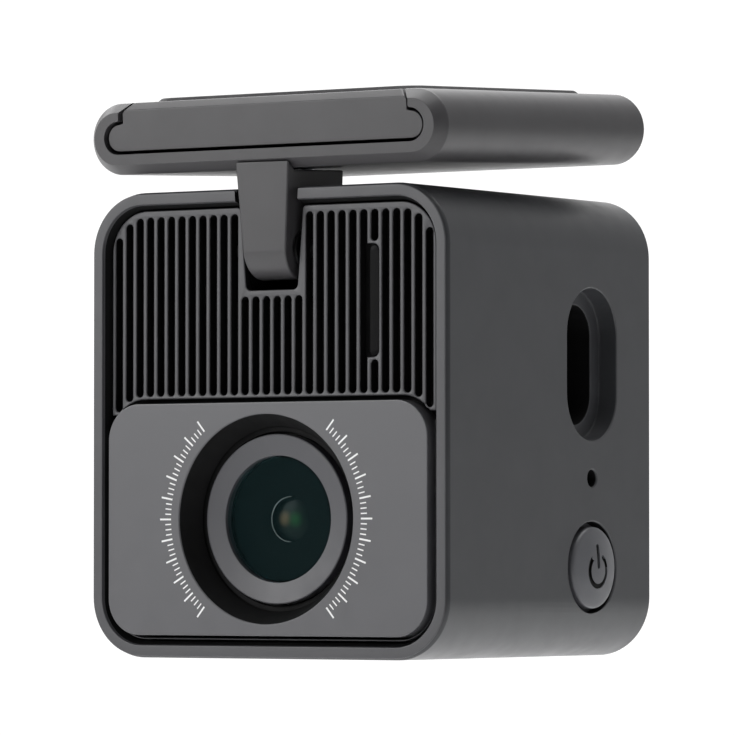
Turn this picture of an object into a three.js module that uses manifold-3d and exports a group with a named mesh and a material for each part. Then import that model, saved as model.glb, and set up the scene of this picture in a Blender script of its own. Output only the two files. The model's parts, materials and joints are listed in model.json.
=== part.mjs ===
// Windscreen dash camera on a slide-on, tilting mount. Millimetres, +Z up, lens facing -Y.
// Two frames are used. The camera frame has its origin at the middle of the front rim's plane.
// The mount frame is turned by MOUNT_TILT about X and starts at the middle of the mount's front end.
// The finished part has its origin at the middle of the adhesive pad's top face.
import * as THREE from 'three';
import { mergeVertices } from 'three/addons/utils/BufferGeometryUtils.js';
import Module from 'manifold-3d';

const wasm = await Module();
wasm.setup();

// ---------------------------------------------------------------- driving dimensions
// Clearances
const FIT = 0.3; // between two moulded parts that plug together
const SEAT = 0.1; // between a small part and what it rests on
const RUN = 0.05; // radial, between a pin and its bore
const REACH = 1; // how far a cutting solid runs past the face that it opens

// Camera body
const BODY_W = 51;
const BODY_H = 56;
const BODY_D = 46.3;
const BODY_R = 7.25;
const WALL = 1.6;
const LIP_WALL = 0.55; // the housing's thin front lip around the front frame

// Front frame
const RIM_INSET = 0.2; // rim's edge, in from the housing's side
const RIM_FACE = 1.3; // width of the rim's flat face
const RIM_T = 0.45;
const SEAM = 0.35; // shadow gap between rim and housing
const SHELF_Y = 3; // front of the shelf behind the grille and the lens panel
const SHELF_T = 1;
const PLUG_END = 7;
const PLUG_T = 1.4;
const SENSOR_POST_R = 2;
const SENSOR_POST_OFFSET = 10.4; // across and up from the lens's middle line
const SHELF_RISE = 0.7; // shelf's top edge above the lens panel's

// Lens panel
const PANEL_H = 27.8;
const PANEL_R = 4.4;
const PANEL_PROUD = 0.2;
const PANEL_SIDE_GAP = 1.07;
const PANEL_FOOT_GAP = 1.2;
const LENS_MOUTH_R = 12.5;
const LENS_THROAT_R = 10.9;

// Grille
const GRILLE_Y = 1.17;
const GRILLE_T = 1.2;
const GRILLE_PANEL_GAP = 0.55;
const SLOT_PITCH = 1.541;
const SLOT_W = 1.02;
const SLOT_TOP_MARGIN = 0.75;
const SLOT_SIDE_MARGIN = 0.4;
const SLOT_FOOT_MARGIN = 0.35;
const SLOT_CORNER_R = 4.6;
const NOTCH_CLEAR = 0.4; // least width of frame between the notch and a full-height slot
const NOTCH_STRIP = 0.7; // frame below the notch
const WINDOW_RIB = 7; // the rib, counted from the notch, that the status window replaces
const WINDOW_TOP_DROP = 4.8; // from the top of the grille to the top of the window
const WINDOW_H = 13.4;
const WINDOW_W = 1.65;
const WINDOW_BRIDGE = 0.3; // frame between the window and the short slots beyond its ends
const WINDOW_RECESS = 0.4;
const PIPE_W = 1;
const PIPE_H = 4;
const SCREEN_T = 0.35;
const SCREEN_GAP = 0.13;
const SCREEN_EDGE = 0.575; // from the grille's seat in to the screen's edge

// Notch and hinge
const NOTCH_TOP_HALF = 4.6;
const NOTCH_FOOT_HALF = 3.75;
const NOTCH_DEPTH = 12.15; // from the body's top down to the notch's floor
const NOTCH_BACK = 13.2;
const BAY_WALL = 1.3;
const BAY_FLOOR_T = 1;
const BAY_GAP = 0.25; // from the grille's back to the hinge bay
const PIN_R = 1.2;
const PIN_BACK = 3.17; // from the rim's plane back to the pin
const PIN_DROP = 7.29; // from the body's top down to the pin
const KNUCKLE_R = 3.6;
const WASHER_R = 2.3;
const WASHER_ARM_GAP = 0.2;
const WASHER_BAY_GAP = 0.55;

// Mount
const MOUNT_TILT = 2.8; // degrees, back end up
const MOUNT_W = 51.2;
const MOUNT_H = 8.66;
const MOUNT_L = 46.3;
const MOUNT_CHAMFER_IN = 1.16;
const MOUNT_CHAMFER_BACK = 1.44;
const MOUNT_END_WALL = 2;
const PLATE_GAP = 0.4;
const PLATE_LOBE_HALF = 22.6;
const PLATE_NECK_HALF = 20.45;
const PLATE_TOP_HALF = 19.25;
const PLATE_LOBE_R = 1.6;
const PLATE_LOBE_Z = 0.1;
const PLATE_NECK_Z = 1.85;
const PLATE_FLARE_Z = 3.1;
const PLATE_CHAMFER = 0.9;
const PAD_HALF_W = 19;
const PAD_FRONT = 4.2;
const PAD_BACK_MARGIN = 0.5;
const PAD_T = 0.5;
const PAD_R = 2.5;
const PAD_GLUE = 0.03;

// Arm
const ARM_TOP_HALF = 3.85;
const ARM_FOOT_HALF = 3.1;
const ARM_LENGTH = 14; // from the mount's middle line down to the pin
const ARM_BACK = 11.9;
const ARM_BACK_DROP = 9.2; // where the back face starts to slope in to the knuckle
const ARM_SEAM = 0.25;
const ARM_SCREW_BACK = [4, 9.4];
const ARM_SCREW_L = 8;

// Right side: socket pocket, microphone hole and power button share one line
const CONTROL_BACK = 13.65; // from that line to the body's back
const POCKET_Z = 7.38;
const POCKET_H = 14.45;
const POCKET_W = 7.4;
const POCKET_STEP = 2.6; // depth of the wide mouth
const POCKET_FLARE = 2; // how far the mouth widens on each side
const POCKET_DEPTH = 7.2;
const POCKET_WALL = 1.2;
const MIC_Z = -6.4;
const MIC_R = 1.05;
const MIC_INSET = 4.5; // from the wall's inner face in to the microphone
const MIC_L = 1.6;
const MIC_H = 3.8;
const MIC_BOOT_R = 1.55;
const MIC_BOOT_BORE_R = 0.8;
const BUTTON_Z = -17.2;
const BUTTON_HOLE_R = 5.55;
const BUTTON_R = 4.95;
const BUTTON_EDGE_PROUD = 0.3;
const BUTTON_DOME = 0.6;
const BUTTON_TRAVEL = 0.45;
const BUTTON_FLANGE_R = 6.2;
const BUTTON_FLANGE_T = 0.6;
const STEM_R = 1.5;
const STEM_L = 1.3;
const SWITCH_L = 3;
const SWITCH_H = 4.4;
const SWITCH_RISE = 1.7; // from the controls' line back to the switch's rear face
const PLUNGER_R = 1;
const PLUNGER_L = 1;

// Lens
const RING_R = 10.15;
const GLASS_R = 7.55;
const RING_Y = 2.2;
const RING_T = 1.5;
const GLASS_RECESS = 0.35;
const GLASS_T = 1;
const BARREL_GAP = 0.2; // behind the ring
const BARREL_FLANGE_T = 3.1;
const BARREL_R = 7.2;
const BARREL_L = 12;
const BARREL_BORE_R = 5.4;
const BAFFLE_BACK = 1.2; // from the barrel's front to its baffle
const BAFFLE_T = 1.4;
const INNER_LENS_R = 2.9;
const INNER_LENS_T = 1.3;
const INNER_LENS_RISE = 0.5;
const INNER_LENS_PROUD = 0.2;
const SPACER_WALL = 1;
const SPACER_L = 2.2;
const REAR_LENS_BACK = 3.2; // from the baffle's front
const REAR_LENS_RISE = 0.9;
const REAR_LENS_EDGE_T = 2.2;
const REAR_LENS_T = 3;
const SEAL_W = 1.15;
const SEAL_T = 1;
const HOLDER_GAP = 2.4; // from the barrel's flange to the holder
const HOLDER_W = 18;
const HOLDER_L = 9;
const SENSOR_W = 9;
const SENSOR_H = 7;
const SENSOR_T = 1.1;
const FILTER_W = 8;
const FILTER_T = 0.3;
const FILTER_BACK = 2; // from the filter's front to the sensor board
const SENSOR_WELL_GAP = 0.7;
const SENSOR_BOARD_W = 25;
const FLEX_W = 8;
const FLEX_T = 0.3;
const FLEX_DROP = 5; // below the lens's middle line
const FLEX_STEP = 4;

// Boards and inner parts
const BOARD_T = 1.6;
const SMALL_BOARD_T = 1.2;
const BOARD_SIDE = 3.6; // from the body's right side in to the board's edge
const BOARD_LEFT = 1.3; // from the left wall's inner face
const BOARD_FOOT = 1; // from the bottom wall's inner face
const BOARD_TOP = 1.5; // above the ledge
const BOARD_CORNER_X = 6.5;
const BOARD_CORNER_Z = 7;
const BOARD_BOSS_IN = 12.5; // from the body's side
const BOARD_BOSS_RISE = 2.2; // from the bottom wall's inner face
const BOARD_BOSS_R = 2.6;
const BOARD_BOSS_L = 7;
const LEDGE_FOOT_Z = 8;
const LEDGE_TOP_Z = 12;
const LEDGE_T = 2;
const LEDGE_IN = 2.4;
const PROCESSOR_W = 14;
const PROCESSOR_FOOT_Z = -6;
const PROCESSOR_TOP_Z = 7;
const PROCESSOR_T = 1.55;
const SINK_T = 1.4;
const SINK_FINS = 8;
const SINK_FIN_T = 1.2;
const SINK_FIN_L = 10;
const SINK_OVERHANG = 9; // how far the base reaches down behind the sensor board
const SOCKET_W = 8.94; // plug socket's shell, long side
const SOCKET_T = 3.26;
const SOCKET_L = 7.1;
const SOCKET_SKIN = 0.35;
const SOCKET_BACK_T = 1;
const TONGUE_W = 6.6;
const TONGUE_T = 0.7;
const TONGUE_RECESS = 0.9;
const CARD_L = 15;
const CARD_W = 11;
const CARD_T = 0.8;
const CARD_Z = 0.5;
const CARD_INSET = 0.6; // from the body's side in to the card's end
const CARD_CORNER = 1;
const CARD_SHOULDER = 1.2;
const CARD_NARROW_L = 6.4;
const CARD_PUSH = 0.6;
const CARD_RAISE = 0.5; // from the board's back face
const CARD_SLOT_GAP = 0.6; // around the card's edge
const CARD_SOCKET_IN = 1; // from the left wall's inner face
const CARD_SOCKET_SKIN = 0.5;
const CARD_SOCKET_SIDE = 1.2;
const SPEAKER_R = 10;
const SPEAKER_T = 4.2;
const SPEAKER_Z = 11;
const SPEAKER_RIM = 1.2;
const MAGNET_SHARE = 0.55; // of the speaker's radius
const SOUND_SLOTS = 7;
const SOUND_PITCH = 2.4;
const SOUND_W = 1.2;
const CELL_R = 4.6;
const CELL_L = 22;
const CELL_SHIFT = -1;
const CELL_BACK = 7.3; // from the board's back face to the cells' middle line
const CELL_Z = [-8.6, -18.6];
const LAMP_Y = 6.5;
const LAMP_W = 1.4;
const LAMP_T = 0.8;
const LAMP_BOARD_W = 4;
const LAMP_BOARD_H = 12;
const LAMP_BOARD_T = 0.8;
const ANTENNA_T = 0.3;
const ANTENNA_L = 13;
const ANTENNA_FOOT_Z = -18;
const ANTENNA_TOP_Z = -6;

// Rear cover and screws
const COVER_T = 1.8;
const COVER_INSET = 0.3;
const BOSS_R = 2.8;
const BOSS_IN_X = 4.9;
const BOSS_IN_Z = 5.4;
const BOSS_L = 8;
const SCREW_R = 0.95;
const SCREW_HEAD_R = 1.9;
const SCREW_HEAD_T = 1.2;
const SCREW_L = 7;
const THREAD_HOLE_R = 1.05;
const CLEAR_HOLE_R = 1.2;

// Curve steps
const FINE = 6;
const COARSE = 3;
const ROUND = 32;

// ---------------------------------------------------------------- derived places
const HALF_W = BODY_W / 2;
const HALF_H = BODY_H / 2;
const HOUSING_FRONT = RIM_T + SEAM;
const RIM_OPENING = RIM_INSET + RIM_FACE;
const SEAT_INSET = WALL + FIT + RUN;
const GRILLE_INSET = SEAT_INSET + FIT * 0.8;
const GRILLE_BACK = GRILLE_Y + GRILLE_T;
const PANEL_HALF_W = HALF_W - RIM_OPENING - PANEL_SIDE_GAP;
const PANEL_FOOT_Z = -HALF_H + RIM_OPENING + PANEL_FOOT_GAP;
const PANEL_TOP_Z = PANEL_FOOT_Z + PANEL_H;
const LENS_Z = PANEL_FOOT_Z + PANEL_H / 2;
const GRILLE_TOP_Z = HALF_H - GRILLE_INSET;
const GRILLE_FOOT_Z = PANEL_TOP_Z + GRILLE_PANEL_GAP;
const NOTCH_FLOOR_Z = HALF_H - NOTCH_DEPTH;
const PIN_Z = HALF_H - PIN_DROP;
const INNER_X = HALF_W - WALL;
const CONTROL_Y = BODY_D - CONTROL_BACK;
const BOARD_BACK_Y = CONTROL_Y - SOCKET_T / 2 - RUN;
const BOARD_Y = BOARD_BACK_Y - BOARD_T;
const COVER_Y = BODY_D - COVER_INSET - COVER_T;
const POCKET_FLOOR_X = HALF_W - POCKET_DEPTH;
const BAY_HALF = NOTCH_TOP_HALF + BAY_WALL;
const BARREL_Y = RING_Y + RING_T + BARREL_GAP;
const HOLDER_Y = BARREL_Y + BARREL_FLANGE_T + HOLDER_GAP;
const SENSOR_BOARD_Y = HOLDER_Y + HOLDER_L + SEAT;
const POCKET_MOUTH_W = POCKET_W + 2 * POCKET_FLARE;
const POCKET_MOUTH_H = POCKET_H + 2 * POCKET_FLARE;
const POCKET_HOLE_X = POCKET_FLOOR_X - POCKET_WALL;
const CARD_SOCKET_X = -INNER_X + CARD_SOCKET_IN;
const CARD_Y = BOARD_BACK_Y + SEAT + CARD_RAISE + CARD_T / 2;
const CARD_OUTER_X = -HALF_W + CARD_INSET;
const CARD_INNER_X = CARD_OUTER_X + CARD_L;
const BOSS_END_Y = COVER_Y - SEAT;
const BAY_FRONT = GRILLE_BACK + BAY_GAP;
const BAY_FOOT_Z = NOTCH_FLOOR_Z - BAY_FLOOR_T;
const SLOT_HALF_W = HALF_W - GRILLE_INSET - SLOT_SIDE_MARGIN;
const SLOT_TOP_Z = GRILLE_TOP_Z - SLOT_TOP_MARGIN;
const SLOT_COUNT = 2 * Math.floor((HALF_W - GRILLE_INSET) / SLOT_PITCH);
const UNDER_NOTCH = Math.floor((NOTCH_TOP_HALF + NOTCH_CLEAR) / SLOT_PITCH);
const WINDOW_TOP_Z = GRILLE_TOP_Z - WINDOW_TOP_DROP;
const WINDOW_Z = WINDOW_TOP_Z - WINDOW_H / 2;
const WINDOW_SLOT_X = (UNDER_NOTCH + WINDOW_RIB - 0.5) * SLOT_PITCH;
const WINDOW_X = WINDOW_SLOT_X + (SLOT_W - WINDOW_W) / 2;
const PLATE_BACK = MOUNT_L - MOUNT_END_WALL - PLATE_GAP;
const PAD_BACK = PLATE_BACK - PAD_BACK_MARGIN;
const PAD_FOOT_Z = MOUNT_H / 2 + PAD_GLUE;
const PAD_TOP_Z = PAD_FOOT_Z + PAD_T;
const PAD_MIDDLE = (PAD_FRONT + PAD_BACK) / 2;
const FLOOR_TOP_Z = PLATE_LOBE_Z - PLATE_LOBE_R - PLATE_GAP;
const ARM_TOP_Z = -MOUNT_H / 2 - ARM_SEAM;
const ARM_HEAD_Z = FLOOR_TOP_Z - SEAT;
const SIDES = [-1, 1];
const [BOSS_X, BOSS_Z] = [HALF_W - BOSS_IN_X, HALF_H - BOSS_IN_Z];
const REAR_BOSSES = SIDES.flatMap((x) => SIDES.map((z) => [x * BOSS_X, z * BOSS_Z]));
const BOARD_BOSS_Z = -HALF_H + WALL + BOARD_BOSS_RISE;
const BOARD_BOSSES = SIDES.map((side) => [side * (HALF_W - BOARD_BOSS_IN), BOARD_BOSS_Z]);
const SENSOR_POSTS = SIDES.map((side) => [side * SENSOR_POST_OFFSET, LENS_Z + side * SENSOR_POST_OFFSET]);

// ---------------------------------------------------------------- solids
function closedSolid(geometry) {
  const plain = geometry.clone();
  plain.deleteAttribute('normal');
  plain.deleteAttribute('uv');
  const merged = mergeVertices(plain, 1e-4);
  const corners = merged.attributes.position;
  const source = merged.index.array;
  const triangles = [];
  for (let i = 0; i < source.length; i += 3) {
    const [a, b, c] = [source[i], source[i + 1], source[i + 2]];
    if (a !== b && b !== c && c !== a) triangles.push(a, b, c);
  }
  const volume = signedVolume(corners, triangles);
  const triVerts = new Uint32Array(volume < 0 ? triangles.reverse() : triangles);
  const vertProperties = new Float32Array(corners.array);
  return new wasm.Manifold(new wasm.Mesh({ numProp: 3, vertProperties, triVerts }));
}

function signedVolume(corners, triangles) {
  const [a, b, c] = [new THREE.Vector3(), new THREE.Vector3(), new THREE.Vector3()];
  let six = 0;
  for (let i = 0; i < triangles.length; i += 3) {
    a.fromBufferAttribute(corners, triangles[i]);
    b.fromBufferAttribute(corners, triangles[i + 1]);
    c.fromBufferAttribute(corners, triangles[i + 2]);
    six += a.dot(b.cross(c));
  }
  return six / 6;
}

const union = (...solids) => solids.reduce((whole, piece) => whole.add(piece));
const cut = (base, ...tools) => tools.reduce((left, tool) => left.subtract(tool), base);

// An outline drawn in X and Z, carried along Y.
function alongY(shape, y0, y1, curveSegments = COARSE) {
  const geometry = new THREE.ExtrudeGeometry(shape, { depth: y1 - y0, bevelEnabled: false, curveSegments });
  return closedSolid(geometry.rotateX(Math.PI / 2).translate(0, y1, 0));
}

// An outline drawn in Y and Z, carried along X.
function alongX(shape, x0, x1, curveSegments = COARSE) {
  const geometry = new THREE.ExtrudeGeometry(shape, { depth: x1 - x0, bevelEnabled: false, curveSegments });
  const axes = [new THREE.Vector3(0, 1, 0), new THREE.Vector3(0, 0, 1), new THREE.Vector3(1, 0, 0)];
  const turn = new THREE.Matrix4().makeBasis(...axes);
  return closedSolid(geometry.applyMatrix4(turn).translate(x0, 0, 0));
}

// An outline drawn in X and Y, carried along Z.
function alongZ(shape, z0, z1, curveSegments = COARSE) {
  const geometry = new THREE.ExtrudeGeometry(shape, { depth: z1 - z0, bevelEnabled: false, curveSegments });
  return closedSolid(geometry.translate(0, 0, z0));
}

function block(x0, x1, y0, y1, z0, z1) {
  const geometry = new THREE.BoxGeometry(x1 - x0, y1 - y0, z1 - z0);
  return closedSolid(geometry.translate((x0 + x1) / 2, (y0 + y1) / 2, (z0 + z1) / 2));
}

// A profile of [radius, distance] pairs, turned about a line parallel to Y, X or Z.
function turned(profile, steps) {
  const points = profile.map(([radius, distance]) => new THREE.Vector2(radius, distance));
  return new THREE.LatheGeometry(points, steps);
}
const turnedY = (profile, x, z, steps = ROUND) => closedSolid(turned(profile, steps).translate(x, 0, z));
const turnedX = (profile, y, z, steps = ROUND) =>
  closedSolid(turned(profile, steps).rotateZ(-Math.PI / 2).translate(0, y, z));
const turnedZ = (profile, x, y, steps = ROUND) =>
  closedSolid(turned(profile, steps).rotateX(Math.PI / 2).translate(x, y, 0));

const rod = (radius, a, b) => [[0, a], [radius, a], [radius, b], [0, b]];
const sleeve = (inner, outer, a, b) => [[inner, a], [outer, a], [outer, b], [inner, b], [inner, a]];
const rodY = (radius, y0, y1, x, z, steps = ROUND) => turnedY(rod(radius, y0, y1), x, z, steps);
const rodX = (radius, x0, x1, y, z, steps = ROUND) => turnedX(rod(radius, x0, x1), y, z, steps);
const rodZ = (radius, z0, z1, x, y, steps = ROUND) => turnedZ(rod(radius, z0, z1), x, y, steps);

// ---------------------------------------------------------------- outlines
function roundedRect(width, height, radius, x = 0, y = 0) {
  const [w, h, turn] = [width / 2 - radius, height / 2 - radius, Math.PI / 2];
  const shape = new THREE.Shape();
  shape.absarc(x + w, y + h, radius, 0, turn, false);
  shape.absarc(x - w, y + h, radius, turn, 2 * turn, false);
  shape.absarc(x - w, y - h, radius, 2 * turn, 3 * turn, false);
  shape.absarc(x + w, y - h, radius, 3 * turn, 4 * turn, false);
  shape.closePath();
  return shape;
}

function polygon(...points) {
  return new THREE.Shape(points.map(([x, y]) => new THREE.Vector2(x, y)));
}

// An upright slot with round ends; its width is across, its height is end to end.
function stadium(width, height, x = 0, y = 0) {
  const [r, straight] = [width / 2, (height - width) / 2];
  const shape = new THREE.Shape();
  shape.absarc(x, y + straight, r, 0, Math.PI, false);
  shape.absarc(x, y - straight, r, Math.PI, 2 * Math.PI, false);
  shape.closePath();
  return shape;
}

// A lying bar with half-round sides.
function roundBar(width, height) {
  const [r, straight] = [height / 2, (width - height) / 2];
  const shape = new THREE.Shape();
  shape.absarc(straight, 0, r, -Math.PI / 2, Math.PI / 2, false);
  shape.absarc(-straight, 0, r, Math.PI / 2, Math.PI * 1.5, false);
  shape.closePath();
  return shape;
}

// The body's outline, drawn in by inset.
const bodyOutline = (inset) => roundedRect(BODY_W - 2 * inset, BODY_H - 2 * inset, BODY_R - inset);

function panelOutline(grow) {
  const radius = PANEL_R + grow;
  return roundedRect(2 * (PANEL_HALF_W + grow), PANEL_H + 2 * grow, radius, 0, LENS_Z);
}

// Height of a round-cornered outline's top edge at a distance x from its middle.
function topEdge(x, halfWidth, top, radius) {
  const past = Math.abs(x) - (halfWidth - radius);
  return past <= 0 ? top : top - radius + Math.sqrt(Math.max(radius * radius - past * past, 0));
}

// Half width of the notch at a height, for a taper that runs from the body's top to the notch's floor.
function notchHalf(z) {
  const share = (HALF_H - z) / NOTCH_DEPTH;
  return NOTCH_TOP_HALF + (NOTCH_FOOT_HALF - NOTCH_TOP_HALF) * share;
}

function notchShape(grow) {
  const [top, foot] = [HALF_H + REACH, NOTCH_FLOOR_Z - grow];
  const [wide, narrow] = [notchHalf(top) + grow, notchHalf(foot) + grow];
  return polygon([-narrow, foot], [narrow, foot], [wide, top], [-wide, top]);
}

// ---------------------------------------------------------------- the scene graph
const dashCamera = new THREE.Group();
const mount = new THREE.Group();
const camera = new THREE.Group();
dashCamera.add(mount, camera);

const finishes = {
  shell: { color: 0x56575b, roughness: 0.55, metalness: 0 },
  bracket: { color: 0x5b5a5d, roughness: 0.5, metalness: 0 },
  panel: { color: 0x74747a, roughness: 0.2, metalness: 0 },
  black: { color: 0x17171a, roughness: 0.6, metalness: 0 },
  ring: { color: 0x646468, roughness: 0.45, metalness: 0 },
  glass: { color: 0x131e1f, roughness: 0.05, metalness: 0 },
  smoke: { color: 0x101012, roughness: 0.15, metalness: 0 },
  steel: { color: 0xa8a9ab, roughness: 0.35, metalness: 1 },
  heatSink: { color: 0x9b9da0, roughness: 0.45, metalness: 1 },
  board: { color: 0x1d4a31, roughness: 0.5, metalness: 0 },
  chip: { color: 0x202124, roughness: 0.6, metalness: 0 },
  copper: { color: 0xa8743a, roughness: 0.45, metalness: 0.6 },
  rubber: { color: 0x1b1b1c, roughness: 0.85, metalness: 0 },
  adhesive: { color: 0x3c3b3d, roughness: 0.9, metalness: 0 },
  lamp: { color: 0xe8e4d6, roughness: 0.3, metalness: 0 },
};

function addPart(group, name, solid, finish) {
  const { vertProperties, triVerts } = solid.getMesh();
  const geometry = new THREE.BufferGeometry();
  geometry.setAttribute('position', new THREE.BufferAttribute(new Float32Array(vertProperties), 3));
  geometry.setIndex(new THREE.BufferAttribute(new Uint32Array(triVerts), 1));
  geometry.computeVertexNormals();
  const mesh = new THREE.Mesh(geometry, new THREE.MeshStandardMaterial(finishes[finish]));
  mesh.name = name;
  group.add(mesh);
}

// ---------------------------------------------------------------- mount
// The slide's section: a flat foot, a round lobe on each side, a neck and a flare that meets the top.
function slideProfile(grow, top) {
  const [lobe, neck, flare] = [PLATE_LOBE_HALF - PLATE_LOBE_R, PLATE_NECK_HALF + grow, PLATE_TOP_HALF + grow];
  const radius = PLATE_LOBE_R + grow;
  const shape = new THREE.Shape();
  shape.moveTo(-lobe, PLATE_LOBE_Z - radius);
  shape.absarc(lobe, PLATE_LOBE_Z, radius, -Math.PI / 2, Math.PI / 2, false);
  shape.lineTo(neck, PLATE_NECK_Z + grow);
  shape.lineTo(neck, PLATE_FLARE_Z);
  shape.lineTo(flare, MOUNT_H / 2);
  if (top > MOUNT_H / 2) shape.lineTo(flare, top);
  if (top > MOUNT_H / 2) shape.lineTo(-flare, top);
  shape.lineTo(-flare, MOUNT_H / 2);
  shape.lineTo(-neck, PLATE_FLARE_Z);
  shape.lineTo(-neck, PLATE_NECK_Z + grow);
  shape.absarc(-lobe, PLATE_LOBE_Z, radius, Math.PI / 2, Math.PI * 1.5, false);
  return shape;
}

// The channel's outer body: a bar with half-round sides and a chamfered front end.
function channelBar() {
  const geometry = new THREE.ExtrudeGeometry(roundBar(MOUNT_W, MOUNT_H), {
    depth: MOUNT_L,
    bevelThickness: MOUNT_CHAMFER_BACK,
    bevelSize: MOUNT_CHAMFER_IN,
    bevelOffset: -MOUNT_CHAMFER_IN,
    bevelSegments: 1,
    curveSegments: FINE,
  });
  const bar = closedSolid(geometry.rotateX(Math.PI / 2).translate(0, MOUNT_L + MOUNT_CHAMFER_BACK, 0));
  const past = 2 * MOUNT_CHAMFER_BACK + REACH;
  return cut(bar, block(-MOUNT_W, MOUNT_W, MOUNT_L, MOUNT_L + past, -MOUNT_H, MOUNT_H));
}

function bracketChannel() {
  const slide = alongY(slideProfile(PLATE_GAP, MOUNT_H / 2 + REACH), -REACH, MOUNT_L - MOUNT_END_WALL);
  const wells = ARM_SCREW_BACK.flatMap((y) => [
    rodZ(SCREW_HEAD_R + FIT, ARM_HEAD_Z - SCREW_HEAD_T - SEAT, FLOOR_TOP_Z + SEAT, 0, y, 16),
    rodZ(CLEAR_HOLE_R, -MOUNT_H, FLOOR_TOP_Z, 0, y, 16),
  ]);
  return cut(channelBar(), slide, ...wells);
}

function basePlate() {
  const front = PLATE_GAP;
  const plate = alongY(slideProfile(0, MOUNT_H / 2), front, PLATE_BACK);
  const c = PLATE_CHAMFER;
  const corner = polygon(
    [front - REACH, MOUNT_H / 2 - c - REACH],
    [front + c + REACH, MOUNT_H / 2 + REACH],
    [front - REACH, MOUNT_H / 2 + REACH],
  );
  return cut(plate, alongX(corner, -MOUNT_W / 2, MOUNT_W / 2));
}

function adhesivePad() {
  const outline = roundedRect(2 * PAD_HALF_W, PAD_BACK - PAD_FRONT, PAD_R, 0, PAD_MIDDLE);
  return alongZ(outline, PAD_FOOT_Z, PAD_TOP_Z);
}

// The arm: flush with the mount's front end, tapered in width, ending in the knuckle around the pin.
function bracketArm() {
  const [pin, r] = [-ARM_LENGTH, KNUCKLE_R];
  const shape = new THREE.Shape();
  shape.moveTo(0, ARM_TOP_Z + MOUNT_CHAMFER_IN);
  shape.absarc(r, pin, r, Math.PI, 2 * Math.PI, false);
  shape.lineTo(ARM_BACK, -ARM_BACK_DROP);
  shape.lineTo(ARM_BACK, ARM_TOP_Z);
  shape.lineTo(MOUNT_CHAMFER_BACK, ARM_TOP_Z);
  shape.closePath();
  const side = alongX(shape, -2 * ARM_TOP_HALF, 2 * ARM_TOP_HALF, FINE);
  const [foot, shoulder] = [pin - r - REACH, -MOUNT_H / 2 + MOUNT_CHAMFER_IN];
  const slope = (ARM_TOP_HALF - ARM_FOOT_HALF) / (shoulder - pin);
  const narrow = ARM_TOP_HALF - slope * (shoulder - foot);
  const wide = ARM_TOP_HALF;
  const front = polygon([-narrow, foot], [narrow, foot], [wide, shoulder], [-wide, shoulder]);
  const bore = rodX(PIN_R + RUN, -2 * ARM_TOP_HALF, 2 * ARM_TOP_HALF, r, pin, 24);
  const threads = ARM_SCREW_BACK.map((y) => rodZ(THREAD_HOLE_R, ARM_HEAD_Z - ARM_SCREW_L - FIT, 0, 0, y, 12));
  return cut(side.intersect(alongY(front, -REACH, ARM_BACK + REACH)), bore, ...threads);
}

// A screw with a plain round head, drawn from its tip up to the top of its head.
const screwProfile = (top, length) => [
  [0, top - length],
  [SCREW_R, top - length],
  [SCREW_R, top - SCREW_HEAD_T],
  [SCREW_HEAD_R, top - SCREW_HEAD_T],
  [SCREW_HEAD_R, top],
  [0, top],
];

addPart(mount, 'adhesive_pad', adhesivePad(), 'adhesive');
addPart(mount, 'base_plate', basePlate(), 'bracket');
addPart(mount, 'bracket_channel', bracketChannel(), 'bracket');
addPart(mount, 'bracket_arm', bracketArm(), 'bracket');
ARM_SCREW_BACK.forEach((y, i) => {
  const screw = turnedZ(screwProfile(ARM_HEAD_Z, ARM_SCREW_L), 0, y, 12);
  addPart(mount, `arm_screw_${i + 1}`, screw, 'steel');
});

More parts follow.
